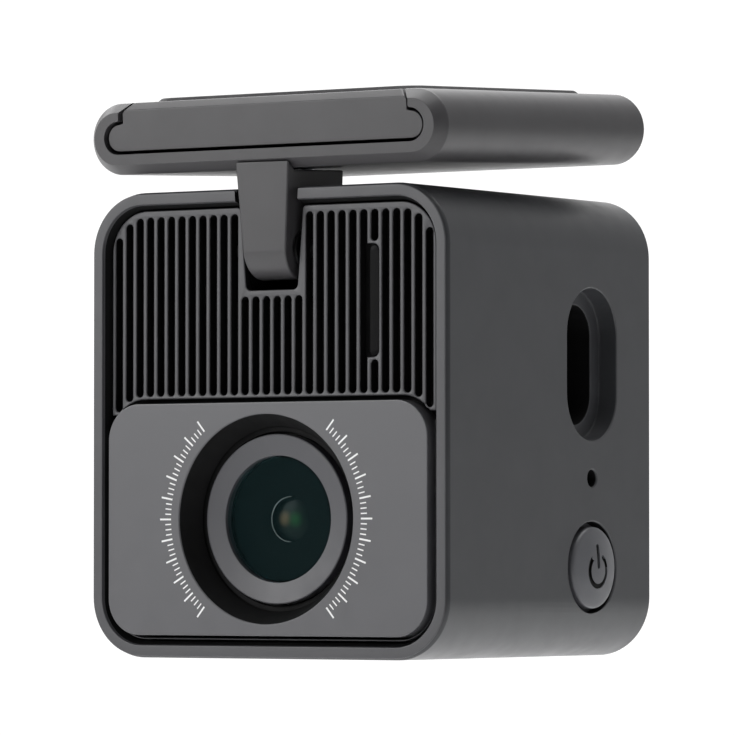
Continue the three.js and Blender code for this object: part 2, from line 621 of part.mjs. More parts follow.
// ---------------------------------------------------------------- housing
function housing() {
  const tube = cut(
    alongY(bodyOutline(0), HOUSING_FRONT, BODY_D),
    alongY(bodyOutline(WALL), -REACH, BODY_D + REACH),
    alongY(bodyOutline(LIP_WALL), -REACH, SHELF_Y + FIT),
  );
  const [skin, roof] = [HALF_W - WALL / 2, HALF_H - WALL / 2];
  const bay = block(-BAY_HALF, BAY_HALF, BAY_FRONT, NOTCH_BACK + BAY_WALL, BAY_FOOT_Z, roof);
  const around = 2 * POCKET_WALL;
  const mouthOutline = stadium(POCKET_MOUTH_W, POCKET_MOUTH_H, CONTROL_Y, POCKET_Z);
  const sleeveOutline = stadium(POCKET_W + around, POCKET_H + around, CONTROL_Y, POCKET_Z);
  const collarOutline = stadium(POCKET_MOUTH_W + around, POCKET_MOUTH_H + around, CONTROL_Y, POCKET_Z);
  const pocket = alongX(sleeveOutline, POCKET_HOLE_X, skin, FINE);
  const collar = alongX(collarOutline, HALF_W - POCKET_STEP - POCKET_WALL, skin, FINE);
  const bosses = REAR_BOSSES.map(([x, z]) => rodY(BOSS_R, BOSS_END_Y - BOSS_L, BOSS_END_Y, x, z, 16));
  const rest = BOARD_Y - SEAT;
  const boardBosses = BOARD_BOSSES.map(([x, z]) => {
    return rodY(BOARD_BOSS_R, rest - BOARD_BOSS_L, rest, x, z, 16);
  });
  const ledge = block(-skin, -INNER_X + LEDGE_IN, rest - LEDGE_T, rest, LEDGE_FOOT_Z, LEDGE_TOP_Z);
  const whole = union(tube, bay, pocket, collar, ...bosses, ...boardBosses, ledge);
  const threadFoot = BOSS_END_Y - BOSS_L + REACH;
  const threads = REAR_BOSSES.map(([x, z]) => rodY(THREAD_HOLE_R, threadFoot, BODY_D, x, z, 12));
  const boardFoot = rest - BOARD_BOSS_L + REACH;
  const boardThreads = BOARD_BOSSES.map(([x, z]) => {
    return rodY(THREAD_HOLE_R, boardFoot, BOARD_Y + REACH, x, z, 12);
  });
  const cardSlot = stadium(CARD_T + 2 * CARD_SLOT_GAP, CARD_W + 3 * CARD_SLOT_GAP, CARD_Y, CARD_Z);
  const socketHole = stadium(SOCKET_T + FIT, SOCKET_W + FIT, CONTROL_Y, POCKET_Z);
  return cut(
    whole,
    alongY(notchShape(0), -REACH, NOTCH_BACK),
    rodX(PIN_R + RUN, -BAY_HALF - REACH, BAY_HALF + REACH, PIN_BACK, PIN_Z, 24),
    alongX(mouthOutline, HALF_W - POCKET_STEP, BODY_W, FINE),
    alongX(stadium(POCKET_W, POCKET_H, CONTROL_Y, POCKET_Z), POCKET_FLOOR_X, BODY_W, FINE),
    alongX(socketHole, POCKET_HOLE_X - REACH, BODY_W),
    rodX(MIC_R, INNER_X - REACH, HALF_W + REACH, CONTROL_Y, MIC_Z, 16),
    rodX(BUTTON_HOLE_R, INNER_X - REACH, HALF_W + REACH, CONTROL_Y, BUTTON_Z),
    rodX(BUTTON_FLANGE_R + FIT, INNER_X - 2 * REACH, INNER_X, CONTROL_Y, BUTTON_Z),
    alongX(cardSlot, -HALF_W - REACH, -INNER_X + REACH),
    ...threads,
    ...boardThreads,
  );
}

// ---------------------------------------------------------------- front frame, grille and panel
function frontFrame() {
  const face = cut(
    alongY(bodyOutline(RIM_INSET), 0, RIM_T),
    alongY(bodyOutline(RIM_OPENING), -REACH, RIM_T + REACH),
  );
  const tongue = cut(
    alongY(bodyOutline(LIP_WALL + FIT), RIM_T - RUN, SHELF_Y),
    alongY(bodyOutline(SEAT_INSET), -REACH, SHELF_Y + REACH),
  );
  const plug = cut(
    alongY(bodyOutline(WALL + FIT), SHELF_Y - RUN, PLUG_END),
    alongY(bodyOutline(WALL + FIT + PLUG_T), -REACH, PLUG_END + REACH),
  );
  const shelfEnd = SHELF_Y + SHELF_T;
  const lowerHalf = block(-HALF_W, HALF_W, 0, PLUG_END, -HALF_H, PANEL_TOP_Z + SHELF_RISE);
  const shelf = alongY(bodyOutline(SEAT_INSET), SHELF_Y, shelfEnd).intersect(lowerHalf);
  const postEnd = SENSOR_BOARD_Y - SEAT;
  const posts = SENSOR_POSTS.map(([x, z]) => rodY(SENSOR_POST_R, shelfEnd - RUN, postEnd, x, z, 12));
  const pilots = SENSOR_POSTS.map(([x, z]) => {
    return rodY(THREAD_HOLE_R, postEnd - SCREW_L, postEnd + REACH, x, z, 12);
  });
  const bayHalf = BAY_HALF + FIT;
  const bayRoomFoot = BAY_FOOT_Z - FIT;
  const bayRoom = block(-bayHalf, bayHalf, RIM_T + RUN, PLUG_END + REACH, bayRoomFoot, HALF_H + REACH);
  return cut(
    union(face, tongue, plug, shelf, ...posts),
    bayRoom,
    alongY(notchShape(0), -REACH, RIM_T + REACH),
    rodY(RING_R + FIT, 0, PLUG_END, 0, LENS_Z),
    ...pilots,
  );
}

function grilleSlot(x) {
  const pastNotch = Math.abs(x) > UNDER_NOTCH * SLOT_PITCH;
  const arch = topEdge(x, SLOT_HALF_W, SLOT_TOP_Z, SLOT_CORNER_R);
  const top = pastNotch ? arch : NOTCH_FLOOR_Z - NOTCH_STRIP;
  const [halfWidth, radius] = [PANEL_HALF_W + GRILLE_PANEL_GAP, PANEL_R + GRILLE_PANEL_GAP];
  const foot = topEdge(x, halfWidth, GRILLE_FOOT_Z, radius) + SLOT_FOOT_MARGIN;
  return alongY(stadium(SLOT_W, top - foot, x, (top + foot) / 2), 0, SHELF_Y, 2);
}

function grille() {
  const plate = cut(
    alongY(bodyOutline(GRILLE_INSET), GRILLE_Y, GRILLE_BACK),
    alongY(panelOutline(GRILLE_PANEL_GAP), 0, SHELF_Y),
    block(-HALF_W, HALF_W, 0, SHELF_Y, -HALF_H, PANEL_TOP_Z - 1),
    alongY(notchShape(0), 0, SHELF_Y),
    rodX(PIN_R + FIT, -BAY_HALF, BAY_HALF, PIN_BACK, PIN_Z, 16),
  );
  const middle = (SLOT_COUNT - 1) / 2;
  const slots = Array.from({ length: SLOT_COUNT }, (_, i) => grilleSlot((i - middle) * SLOT_PITCH));
  const windowFoot = WINDOW_Z - WINDOW_H / 2;
  const [left, right] = [WINDOW_SLOT_X - SLOT_PITCH, WINDOW_SLOT_X + SLOT_W / 2];
  const windowBay = block(left, WINDOW_SLOT_X, GRILLE_Y - REACH, SHELF_Y, windowFoot, WINDOW_TOP_Z);
  const stops = SIDES.map((end) => {
    const z = WINDOW_Z + (end * (WINDOW_H + WINDOW_BRIDGE)) / 2;
    const [foot, top] = [z - WINDOW_BRIDGE / 2, z + WINDOW_BRIDGE / 2];
    return block(WINDOW_SLOT_X - SLOT_W, right + WINDOW_BRIDGE, GRILLE_Y, GRILLE_BACK, foot, top);
  });
  return cut(union(cut(plate, ...slots), ...stops), windowBay);
}

function dustScreen() {
  const front = GRILLE_BACK + SCREEN_GAP;
  const pipeRoom = PIPE_H / 2 + REACH;
  const bayHalf = BAY_HALF + FIT;
  return cut(
    alongY(bodyOutline(SEAT_INSET + SCREEN_EDGE), front, front + SCREEN_T, 2),
    block(-HALF_W, HALF_W, 0, PLUG_END, -HALF_H, GRILLE_FOOT_Z + FIT),
    block(-bayHalf, bayHalf, 0, PLUG_END, BAY_FOOT_Z - FIT, HALF_H),
    block(WINDOW_X - PIPE_W, WINDOW_X + PIPE_W, 0, PLUG_END, WINDOW_Z - pipeRoom, WINDOW_Z + pipeRoom),
  );
}

function lensPanel() {
  const [front, back] = [-PANEL_PROUD, SHELF_Y - FIT];
  const mouth = [[0, front - RUN], [LENS_MOUTH_R, front - RUN], [LENS_THROAT_R, back + RUN], [0, back + RUN]];
  return cut(alongY(panelOutline(0), front, back), turnedY(mouth, 0, LENS_Z, 48));
}

// Window insert in the grille, with a rod back to the lamp.
function lightPipe() {
  const outline = stadium(WINDOW_W - FIT, WINDOW_H - FIT, WINDOW_X, WINDOW_Z);
  const insert = alongY(outline, GRILLE_Y + WINDOW_RECESS, GRILLE_BACK);
  const [w, h] = [PIPE_W / 2, PIPE_H / 2];
  return insert.add(
    block(WINDOW_X - w, WINDOW_X + w, GRILLE_BACK - RUN, LAMP_Y - SEAT, WINDOW_Z - h, WINDOW_Z + h),
  );
}

// ---------------------------------------------------------------- lens
const BAFFLE_Y = BARREL_Y + BAFFLE_BACK;
const BARREL_END_Y = BARREL_Y + BARREL_L;
const REAR_LENS_Y = BAFFLE_Y + REAR_LENS_BACK;

// The [radius, distance] pairs of a shallow dome, from its middle out to its edge.
function dome(radius, rise, y, steps) {
  return Array.from({ length: steps + 1 }, (_, i) => [(radius * i) / steps, y + rise * (i / steps) ** 2]);
}

function lensBarrel() {
  const [flangeEnd, baffleEnd] = [BARREL_Y + BARREL_FLANGE_T, BAFFLE_Y + BAFFLE_T];
  return turnedY(
    [
      [GLASS_R, BARREL_Y],
      [RING_R, BARREL_Y],
      [RING_R, flangeEnd],
      [BARREL_R, flangeEnd],
      [BARREL_R, BARREL_END_Y],
      [BARREL_BORE_R, BARREL_END_Y],
      [BARREL_BORE_R, baffleEnd],
      [INNER_LENS_R, baffleEnd],
      [INNER_LENS_R, BAFFLE_Y],
      [GLASS_R, BARREL_Y],
    ],
    0,
    LENS_Z,
  );
}

function innerLens() {
  const [radius, back] = [INNER_LENS_R - RUN, BAFFLE_Y + INNER_LENS_T];
  const front = dome(radius, INNER_LENS_RISE, BAFFLE_Y - INNER_LENS_PROUD, 4);
  return turnedY([...front, [radius, back], [0, back]], 0, LENS_Z, 24);
}

function rearLens() {
  const radius = BARREL_BORE_R - RUN;
  const front = dome(radius, REAR_LENS_RISE, REAR_LENS_Y, 4);
  const back = [[radius, REAR_LENS_Y + REAR_LENS_EDGE_T], [0, REAR_LENS_Y + REAR_LENS_T]];
  return turnedY([...front, ...back], 0, LENS_Z, 24);
}

function lensSpacer() {
  const [outer, front] = [BARREL_BORE_R - RUN, BAFFLE_Y + BAFFLE_T + SEAT];
  return turnedY(sleeve(BARREL_BORE_R - SPACER_WALL, outer, front, front + SPACER_L), 0, LENS_Z, 24);
}

function lensSeal() {
  const front = SHELF_Y + SHELF_T + SEAT;
  return turnedY(sleeve(RING_R + RUN, RING_R + RUN + SEAL_W, front, front + SEAL_T), 0, LENS_Z);
}

function frontGlass() {
  const front = RING_Y + GLASS_RECESS;
  return rodY(GLASS_R - SEAT, front, front + GLASS_T, 0, LENS_Z);
}

function lensHolder() {
  const [w, end] = [HOLDER_W / 2, HOLDER_Y + HOLDER_L];
  const body = block(-w, w, HOLDER_Y, end, LENS_Z - w, LENS_Z + w);
  const boreEnd = BARREL_END_Y + SEAT;
  const bore = rodY(BARREL_R + SEAT, HOLDER_Y - REACH, boreEnd, 0, LENS_Z);
  const [wellX, wellZ] = [SENSOR_W / 2 + SENSOR_WELL_GAP, SENSOR_H / 2 + SENSOR_WELL_GAP];
  const well = block(-wellX, wellX, boreEnd - REACH, end + REACH, LENS_Z - wellZ, LENS_Z + wellZ);
  const corners = SENSOR_POSTS.map(([x, z]) =>
    rodY(SENSOR_POST_R + 2 * FIT, HOLDER_Y - REACH, end + REACH, x, z, 12),
  );
  return cut(body, bore, well, ...corners);
}

// ---------------------------------------------------------------- boards and what sits on them
function mainBoard() {
  const [left, right] = [-INNER_X + BOARD_LEFT, HALF_W - BOARD_SIDE];
  const [foot, top] = [-HALF_H + WALL + BOARD_FOOT, LEDGE_TOP_Z + BOARD_TOP];
  const pocketX = POCKET_HOLE_X - FIT - 2 * SEAT;
  const pocketZ = POCKET_Z - POCKET_MOUTH_H / 2 - POCKET_WALL - FIT;
  const outline = polygon(
    [left + BOARD_CORNER_X, foot],
    [right - BOARD_CORNER_X, foot],
    [right - BOARD_CORNER_X, foot + BOARD_CORNER_Z],
    [right, foot + BOARD_CORNER_Z],
    [right, pocketZ],
    [pocketX, pocketZ],
    [pocketX, top],
    [left, top],
    [left, foot + BOARD_CORNER_Z],
    [left + BOARD_CORNER_X, foot + BOARD_CORNER_Z],
  );
  const holes = BOARD_BOSSES.map(([x, z]) => {
    return rodY(CLEAR_HOLE_R, BOARD_Y - REACH, BOARD_BACK_Y + REACH, x, z, 12);
  });
  return cut(alongY(outline, BOARD_Y, BOARD_BACK_Y), ...holes);
}

function processor() {
  const [w, back] = [PROCESSOR_W / 2, BOARD_Y - SEAT];
  return block(-w, w, back - PROCESSOR_T, back, PROCESSOR_FOOT_Z, PROCESSOR_TOP_Z);
}

function plugSocket() {
  const [mouth, back] = [POCKET_FLOOR_X, POCKET_FLOOR_X - SOCKET_L];
  const shell = alongX(stadium(SOCKET_T, SOCKET_W, CONTROL_Y, POCKET_Z), back, mouth);
  const skin = 2 * SOCKET_SKIN;
  const inside = stadium(SOCKET_T - skin, SOCKET_W - skin, CONTROL_Y, POCKET_Z);
  const hollow = alongX(inside, back + SOCKET_BACK_T, mouth + REACH);
  const [t, w] = [TONGUE_T / 2, TONGUE_W / 2];
  const [root, tip] = [back + SOCKET_BACK_T / 2, mouth - TONGUE_RECESS];
  const tongue = block(root, tip, CONTROL_Y - t, CONTROL_Y + t, POCKET_Z - w, POCKET_Z + w);
  return cut(shell, hollow).add(tongue);
}

function cardSocket() {
  const end = CARD_INNER_X + CARD_PUSH;
  const [half, t, w] = [CARD_W / 2 + CARD_SOCKET_SIDE, CARD_T / 2 + SEAT, CARD_W / 2 + SEAT];
  const back = CARD_Y + CARD_T / 2 + CARD_SOCKET_SKIN;
  const body = block(
    CARD_SOCKET_X,
    end + CARD_SOCKET_SIDE,
    BOARD_BACK_Y + SEAT,
    back,
    CARD_Z - half,
    CARD_Z + half,
  );
  const room = block(CARD_SOCKET_X - REACH, end + SEAT, CARD_Y - t, CARD_Y + t, CARD_Z - w, CARD_Z + w);
  return cut(body, room);
}

function memoryCard() {
  const [foot, top] = [CARD_Z - CARD_W / 2, CARD_Z + CARD_W / 2];
  const outline = polygon(
    [CARD_OUTER_X, foot],
    [CARD_INNER_X - CARD_CORNER, foot],
    [CARD_INNER_X, foot + CARD_CORNER],
    [CARD_INNER_X, top - CARD_SHOULDER],
    [CARD_INNER_X - CARD_NARROW_L, top - CARD_SHOULDER],
    [CARD_INNER_X - CARD_NARROW_L - CARD_SHOULDER / 2, top],
    [CARD_OUTER_X, top],
  );
  return alongY(outline, CARD_Y - CARD_T / 2, CARD_Y + CARD_T / 2);
}

function powerButton() {
  const flangeOuter = INNER_X - SEAT;
  const flangeInner = flangeOuter - BUTTON_FLANGE_T;
  const edge = HALF_W + BUTTON_EDGE_PROUD;
  const steps = 5;
  const dome = Array.from({ length: steps + 1 }, (_, i) => {
    const share = 1 - i / steps;
    return [BUTTON_R * share, edge + BUTTON_DOME * (1 - share * share)];
  });
  const profile = [
    [0, flangeInner - STEM_L],
    [STEM_R, flangeInner - STEM_L],
    [STEM_R, flangeInner],
    [BUTTON_FLANGE_R, flangeInner],
    [BUTTON_FLANGE_R, flangeOuter],
    [BUTTON_R, flangeOuter],
    ...dome,
  ];
  return turnedX(profile, CONTROL_Y, BUTTON_Z, 36);
}

function powerSwitch() {
  const tip = INNER_X - SEAT - BUTTON_FLANGE_T - STEM_L - BUTTON_TRAVEL - RUN;
  const [face, w] = [tip - PLUNGER_L, SWITCH_H / 2];
  const [front, back] = [BOARD_BACK_Y + SEAT, CONTROL_Y + SWITCH_RISE];
  const body = block(face - SWITCH_L, face, front, back, BUTTON_Z - w, BUTTON_Z + w);
  return body.add(rodX(PLUNGER_R, face - RUN, tip, CONTROL_Y, BUTTON_Z, 12));
}

function microphone() {
  const [x, depth, h] = [INNER_X - MIC_INSET, CONTROL_Y - BOARD_BACK_Y - SEAT, MIC_H / 2];
  return block(x - MIC_L, x, CONTROL_Y - depth, CONTROL_Y + depth, MIC_Z - h, MIC_Z + h);
}

function microphoneBoot() {
  const [inner, outer] = [INNER_X - MIC_INSET + SEAT, INNER_X - SEAT];
  return turnedX(sleeve(MIC_BOOT_BORE_R, MIC_BOOT_R, inner, outer), CONTROL_Y, MIC_Z, 16);
}

function heatSink() {
  const half = POCKET_HOLE_X - SEAT;
  const boardTop = LENS_Z + SENSOR_BOARD_W / 2;
  const back = BOARD_Y - SEAT - PROCESSOR_T - SEAT;
  const base = block(-half, half, back - SINK_T, back, boardTop - SINK_OVERHANG, LEDGE_TOP_Z);
  const pitch = (2 * half - SINK_FIN_T) / (SINK_FINS - 1);
  const fins = Array.from({ length: SINK_FINS }, (_, i) => {
    const left = -half + i * pitch;
    const [tip, root] = [back - SINK_FIN_L, back - SINK_T + RUN];
    return block(left, left + SINK_FIN_T, tip, root, boardTop + REACH, LEDGE_TOP_Z);
  });
  return union(base, ...fins);
}

function irFilter() {
  const [front, w, h] = [SENSOR_BOARD_Y - SEAT - FILTER_BACK, FILTER_W / 2, SENSOR_H / 2];
  return block(-w, w, front, front + FILTER_T, LENS_Z - h, LENS_Z + h);
}

function imageSensor() {
  const [back, w, h] = [SENSOR_BOARD_Y - SEAT, SENSOR_W / 2, SENSOR_H / 2];
  return block(-w, w, back - SENSOR_T, back, LENS_Z - h, LENS_Z + h);
}

function sensorBoard() {
  const [half, back] = [SENSOR_BOARD_W / 2, SENSOR_BOARD_Y + SMALL_BOARD_T];
  return cut(
    block(-half, half, SENSOR_BOARD_Y, back, LENS_Z - half, LENS_Z + half),
    ...SENSOR_POSTS.map(([x, z]) => rodY(CLEAR_HOLE_R, 0, BODY_D, x, z, 12)),
  );
}

// A flat ribbon that leaves the sensor board, steps back and lies against the main board.
function sensorFlex() {
  const [front, back, top] = [SENSOR_BOARD_Y + SMALL_BOARD_T + SEAT, BOARD_Y - SEAT, LENS_Z - FLEX_DROP];
  const [bend, foot] = [top - FLEX_STEP, top - 2 * FLEX_STEP];
  const outline = polygon(
    [front, top],
    [front + FLEX_T, top],
    [front + FLEX_T, bend + FLEX_T],
    [back, bend + FLEX_T],
    [back, foot],
    [back - FLEX_T, foot],
    [back - FLEX_T, bend],
    [front, bend],
  );
  return alongX(outline, -FLEX_W / 2, FLEX_W / 2);
}

function statusLamp() {
  const w = LAMP_W / 2;
  return block(WINDOW_X - w, WINDOW_X + w, LAMP_Y, LAMP_Y + LAMP_T, WINDOW_Z - w, WINDOW_Z + w);
}

function lampBoard() {
  const [front, w, h] = [LAMP_Y + LAMP_T + SEAT, LAMP_BOARD_W / 2, LAMP_BOARD_H / 2];
  return block(WINDOW_X - w, WINDOW_X + w, front, front + LAMP_BOARD_T, WINDOW_Z - h, WINDOW_Z + h);
}

function wifiAntenna() {
  const [x, front] = [-INNER_X + SEAT, PLUG_END + REACH];
  return block(x, x + ANTENNA_T, front, front + ANTENNA_L, ANTENNA_FOOT_Z, ANTENNA_TOP_Z);
}

function speaker() {
  const [back, magnetR] = [COVER_Y - SEAT, SPEAKER_R * MAGNET_SHARE];
  const profile = [
    [0, back - SPEAKER_T],
    [magnetR, back - SPEAKER_T],
    [magnetR, back - SPEAKER_T / 2],
    [SPEAKER_R, back - SPEAKER_T / 2],
    [SPEAKER_R, back],
    [SPEAKER_R - SPEAKER_RIM, back],
    [0, back - SPEAKER_T / 3],
  ];
  return turnedY(profile, 0, SPEAKER_Z, 24);
}

function rearCover() {
  const back = COVER_Y + COVER_T;
  const plate = alongY(bodyOutline(WALL + FIT), COVER_Y, back);
  const holes = REAR_BOSSES.flatMap(([x, z]) => [
    rodY(CLEAR_HOLE_R, COVER_Y - REACH, back + REACH, x, z, 12),
    rodY(SCREW_HEAD_R + SEAT, back - SCREW_HEAD_T - SEAT, back + REACH, x, z, 16),
  ]);
  const sound = Array.from({ length: SOUND_SLOTS }, (_, i) => {
    const x = (i - (SOUND_SLOTS - 1) / 2) * SOUND_PITCH;
    const height = 2 * Math.sqrt(SPEAKER_R * SPEAKER_R - x * x) - SPEAKER_R / 2;
    return alongY(stadium(SOUND_W, height, x, SPEAKER_Z), COVER_Y - REACH, back + REACH, 2);
  });
  return cut(plate, ...holes, ...sound);
}

// ---------------------------------------------------------------- the camera's parts
addPart(camera, 'housing', housing(), 'shell');
addPart(camera, 'front_frame', frontFrame(), 'shell');
addPart(camera, 'grille', grille(), 'shell');
addPart(camera, 'dust_screen', dustScreen(), 'black');
addPart(camera, 'status_light_pipe', lightPipe(), 'smoke');
addPart(camera, 'lens_panel', lensPanel(), 'panel');

const ringSleeve = sleeve(GLASS_R, RING_R, RING_Y, RING_Y + RING_T);
addPart(camera, 'lens_ring', turnedY(ringSleeve, 0, LENS_Z, 40), 'ring');
addPart(camera, 'front_glass', frontGlass(), 'glass');
addPart(camera, 'lens_barrel', lensBarrel(), 'black');
addPart(camera, 'inner_lens', innerLens(), 'glass');
addPart(camera, 'lens_spacer', lensSpacer(), 'black');
addPart(camera, 'rear_lens', rearLens(), 'glass');
addPart(camera, 'lens_seal', lensSeal(), 'rubber');
addPart(camera, 'lens_holder', lensHolder(), 'black');
addPart(camera, 'ir_filter', irFilter(), 'glass');
addPart(camera, 'image_sensor', imageSensor(), 'chip');
addPart(camera, 'sensor_board', sensorBoard(), 'board');
addPart(camera, 'sensor_flex', sensorFlex(), 'copper');

addPart(camera, 'main_board', mainBoard(), 'board');
addPart(camera, 'processor', processor(), 'chip');
addPart(camera, 'heat_sink', heatSink(), 'heatSink');
addPart(camera, 'plug_socket', plugSocket(), 'steel');
addPart(camera, 'card_socket', cardSocket(), 'steel');
addPart(camera, 'memory_card', memoryCard(), 'chip');
addPart(camera, 'microphone', microphone(), 'steel');
addPart(camera, 'microphone_boot', microphoneBoot(), 'rubber');
addPart(camera, 'power_switch', powerSwitch(), 'steel');
addPart(camera, 'power_button', powerButton(), 'shell');
addPart(camera, 'status_lamp', statusLamp(), 'lamp');
addPart(camera, 'lamp_board', lampBoard(), 'board');
addPart(camera, 'wifi_antenna', wifiAntenna(), 'copper');
CELL_Z.forEach((z, i) => {
  const [left, right] = [CELL_SHIFT - CELL_L / 2, CELL_SHIFT + CELL_L / 2];
  const cell = rodX(CELL_R, left, right, BOARD_BACK_Y + CELL_BACK, z, 20);
  addPart(camera, `supercapacitor_${i + 1}`, cell, 'chip');
});
addPart(camera, 'speaker', speaker(), 'black');
addPart(camera, 'rear_cover', rearCover(), 'shell');

// Screws, pin and friction washers
function screws(label, places, headTop) {
  places.forEach(([x, z], i) => {
    addPart(camera, `${label}_screw_${i + 1}`, turnedY(screwProfile(headTop, SCREW_L), x, z, 12), 'steel');
  });
}
screws('rear', REAR_BOSSES, COVER_Y + COVER_T - RUN);
screws('board', BOARD_BOSSES, BOARD_BACK_Y + SEAT + SCREW_HEAD_T);
screws('sensor', SENSOR_POSTS, SENSOR_BOARD_Y + SMALL_BOARD_T + SEAT + SCREW_HEAD_T);
const pinHalf = BAY_HALF - SEAT;
addPart(camera, 'hinge_pin', rodX(PIN_R, -pinHalf, pinHalf, PIN_BACK, PIN_Z, 24), 'steel');
const washerIn = ARM_FOOT_HALF + WASHER_ARM_GAP;
const washerOut = notchHalf(PIN_Z + WASHER_R) - WASHER_BAY_GAP;
const washers = { left: [-washerOut, -washerIn], right: [washerIn, washerOut] };
Object.entries(washers).forEach(([label, [a, b]]) => {
  const washer = turnedX(sleeve(PIN_R + RUN, WASHER_R, a, b), PIN_BACK, PIN_Z, 24);
  addPart(camera, `friction_washer_${label}`, washer, 'steel');
});

// ---------------------------------------------------------------- placing the two frames
const tilt = THREE.MathUtils.degToRad(MOUNT_TILT);
mount.rotation.x = tilt;
mount.position.set(0, -PAD_MIDDLE, -PAD_TOP_Z).applyAxisAngle(new THREE.Vector3(1, 0, 0), tilt);
const pinPlace = new THREE.Vector3(0, KNUCKLE_R, -ARM_LENGTH).applyEuler(mount.rotation).add(mount.position);
camera.position.set(0, pinPlace.y - PIN_BACK, pinPlace.z - PIN_Z);

export default dashCamera;
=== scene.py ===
import json
import math

import bmesh
import bpy
from mathutils import Matrix, Vector


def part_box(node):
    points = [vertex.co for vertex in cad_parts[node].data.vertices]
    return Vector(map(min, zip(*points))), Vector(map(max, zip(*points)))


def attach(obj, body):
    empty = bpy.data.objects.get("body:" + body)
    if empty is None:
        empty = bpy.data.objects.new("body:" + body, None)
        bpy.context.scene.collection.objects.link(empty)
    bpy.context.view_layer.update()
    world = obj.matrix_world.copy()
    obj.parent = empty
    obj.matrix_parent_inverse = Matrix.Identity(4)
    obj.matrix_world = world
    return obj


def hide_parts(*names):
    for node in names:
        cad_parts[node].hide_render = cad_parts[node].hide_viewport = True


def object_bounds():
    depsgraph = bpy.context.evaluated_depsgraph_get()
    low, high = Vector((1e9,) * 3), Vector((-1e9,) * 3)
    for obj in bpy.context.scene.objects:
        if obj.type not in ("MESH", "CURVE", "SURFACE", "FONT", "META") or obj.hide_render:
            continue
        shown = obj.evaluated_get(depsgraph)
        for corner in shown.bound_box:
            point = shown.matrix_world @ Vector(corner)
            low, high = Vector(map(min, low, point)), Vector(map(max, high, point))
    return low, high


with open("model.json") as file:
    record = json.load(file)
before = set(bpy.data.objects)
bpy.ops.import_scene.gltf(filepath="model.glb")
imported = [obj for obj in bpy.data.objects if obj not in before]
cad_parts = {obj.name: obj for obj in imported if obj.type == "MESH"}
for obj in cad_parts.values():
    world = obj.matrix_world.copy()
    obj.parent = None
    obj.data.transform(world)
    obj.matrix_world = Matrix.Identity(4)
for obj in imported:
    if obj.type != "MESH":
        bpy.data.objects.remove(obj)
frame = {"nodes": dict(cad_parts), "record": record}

# Looks of a windscreen dash camera. Pieces are drawn in millimetres in one of two frames, then placed
# in the row frame in metres. The camera frame starts at the middle of the front rim's plane. The mount
# frame is tilted about X and starts at the middle of the mount's front end, as the CAD's own frames do.

CAD_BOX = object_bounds()
scene = bpy.context.scene


def box_mm(node):
    low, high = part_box(node)
    return low * 1000, high * 1000


# ------------------------------------------------------------------ sizes read from the frame, in mm
BODY_LOW, BODY_HIGH = box_mm("housing")
RIM_LOW = box_mm("front_frame")[0]
PANEL_LOW, PANEL_HIGH = box_mm("lens_panel")
RING_LOW, RING_HIGH = box_mm("lens_ring")
CARD_LOW, CARD_HIGH = box_mm("memory_card")
CAMERA_ORIGIN = Vector((0, RIM_LOW.y, (BODY_LOW.z + BODY_HIGH.z) / 2))
BODY_W = BODY_HIGH.x - BODY_LOW.x
BODY_H = BODY_HIGH.z - BODY_LOW.z
BODY_D = BODY_HIGH.y - RIM_LOW.y
HALF_W = BODY_W / 2
HALF_H = BODY_H / 2
PANEL_W = PANEL_HIGH.x - PANEL_LOW.x
PANEL_H = PANEL_HIGH.z - PANEL_LOW.z
LENS_Z = (PANEL_LOW.z + PANEL_HIGH.z) / 2 - CAMERA_ORIGIN.z
PANEL_TOP = PANEL_HIGH.z - CAMERA_ORIGIN.z
PANEL_FRONT = PANEL_LOW.y - CAMERA_ORIGIN.y
RING_R = (RING_HIGH.x - RING_LOW.x) / 2
RING_FRONT = RING_LOW.y - CAMERA_ORIGIN.y
CARD_Y = (CARD_LOW.y + CARD_HIGH.y) / 2 - CAMERA_ORIGIN.y
CARD_Z = (CARD_LOW.z + CARD_HIGH.z) / 2 - CAMERA_ORIGIN.z
CARD_T = CARD_HIGH.y - CARD_LOW.y
CARD_W = CARD_HIGH.z - CARD_LOW.z

MOUNT_AXIS = frame["record"]["mounts"][0]["axis"]
MOUNT_TILT = math.atan2(-MOUNT_AXIS[1], MOUNT_AXIS[2])

# ------------------------------------------------------------------ sizes that repeat the CAD's, in mm
BODY_R = 7.25
WALL = 1.6
LIP_WALL = 0.55
RIM_OPENING = 1.5
SEAT_INSET = 1.95
GRILLE_INSET = 2.19
GRILLE_Y = 1.17
GRILLE_T = 1.2
SHELF_Y = 3.0
PANEL_R = 4.4
GRILLE_GAP = 0.55
SLOT_PITCH = 1.541
SLOT_W = 1.02
SLOT_TOP = 25.05
SLOT_CORNER_R = 4.6
SLOT_FOOT_MARGIN = 0.35
SLOT_COUNT = 30
WINDOW_SLOT = 23
WINDOW_OFFSET = 1.35
WINDOW_FOOT, WINDOW_TOP = 7.6, 21.0
WINDOW_ROUND = 0.82
WINDOW_RIB = 0.3
UNDER_NOTCH = 3
NOTCH_DEPTH = 12.15
NOTCH_TOP_HALF = 4.6
NOTCH_FOOT_HALF = 3.75
NOTCH_BACK = 13.2
BAY_WALL = 1.3
PIN_R = 1.2
PIN_PLAY = 0.05
PIN_BACK = 3.17
PIN_Z = HALF_H - 7.29
WASHER_R = 2.3
MOUTH_R = 12.5
THROAT_R = 10.9
GLASS_R = 7.55
CONTROL_Y = 32.65
POCKET_Z = 7.38
POCKET_W = 11.4
POCKET_H = 18.45
POCKET_FLARE = 2.0
POCKET_STEP = 2.6
POCKET_DEPTH = 7.2
POCKET_TUBE = (17.1, 22.2)
SOCKET_HOLE = (3.4, 9.1)
SOCKET_SHELL = (3.26, 8.94)
MIC_Z = -6.4
MIC_R = 1.05
BUTTON_Z = -17.2
BUTTON_R = 4.95
BUTTON_HOLE_R = 5.55
BUTTON_EDGE = 0.3
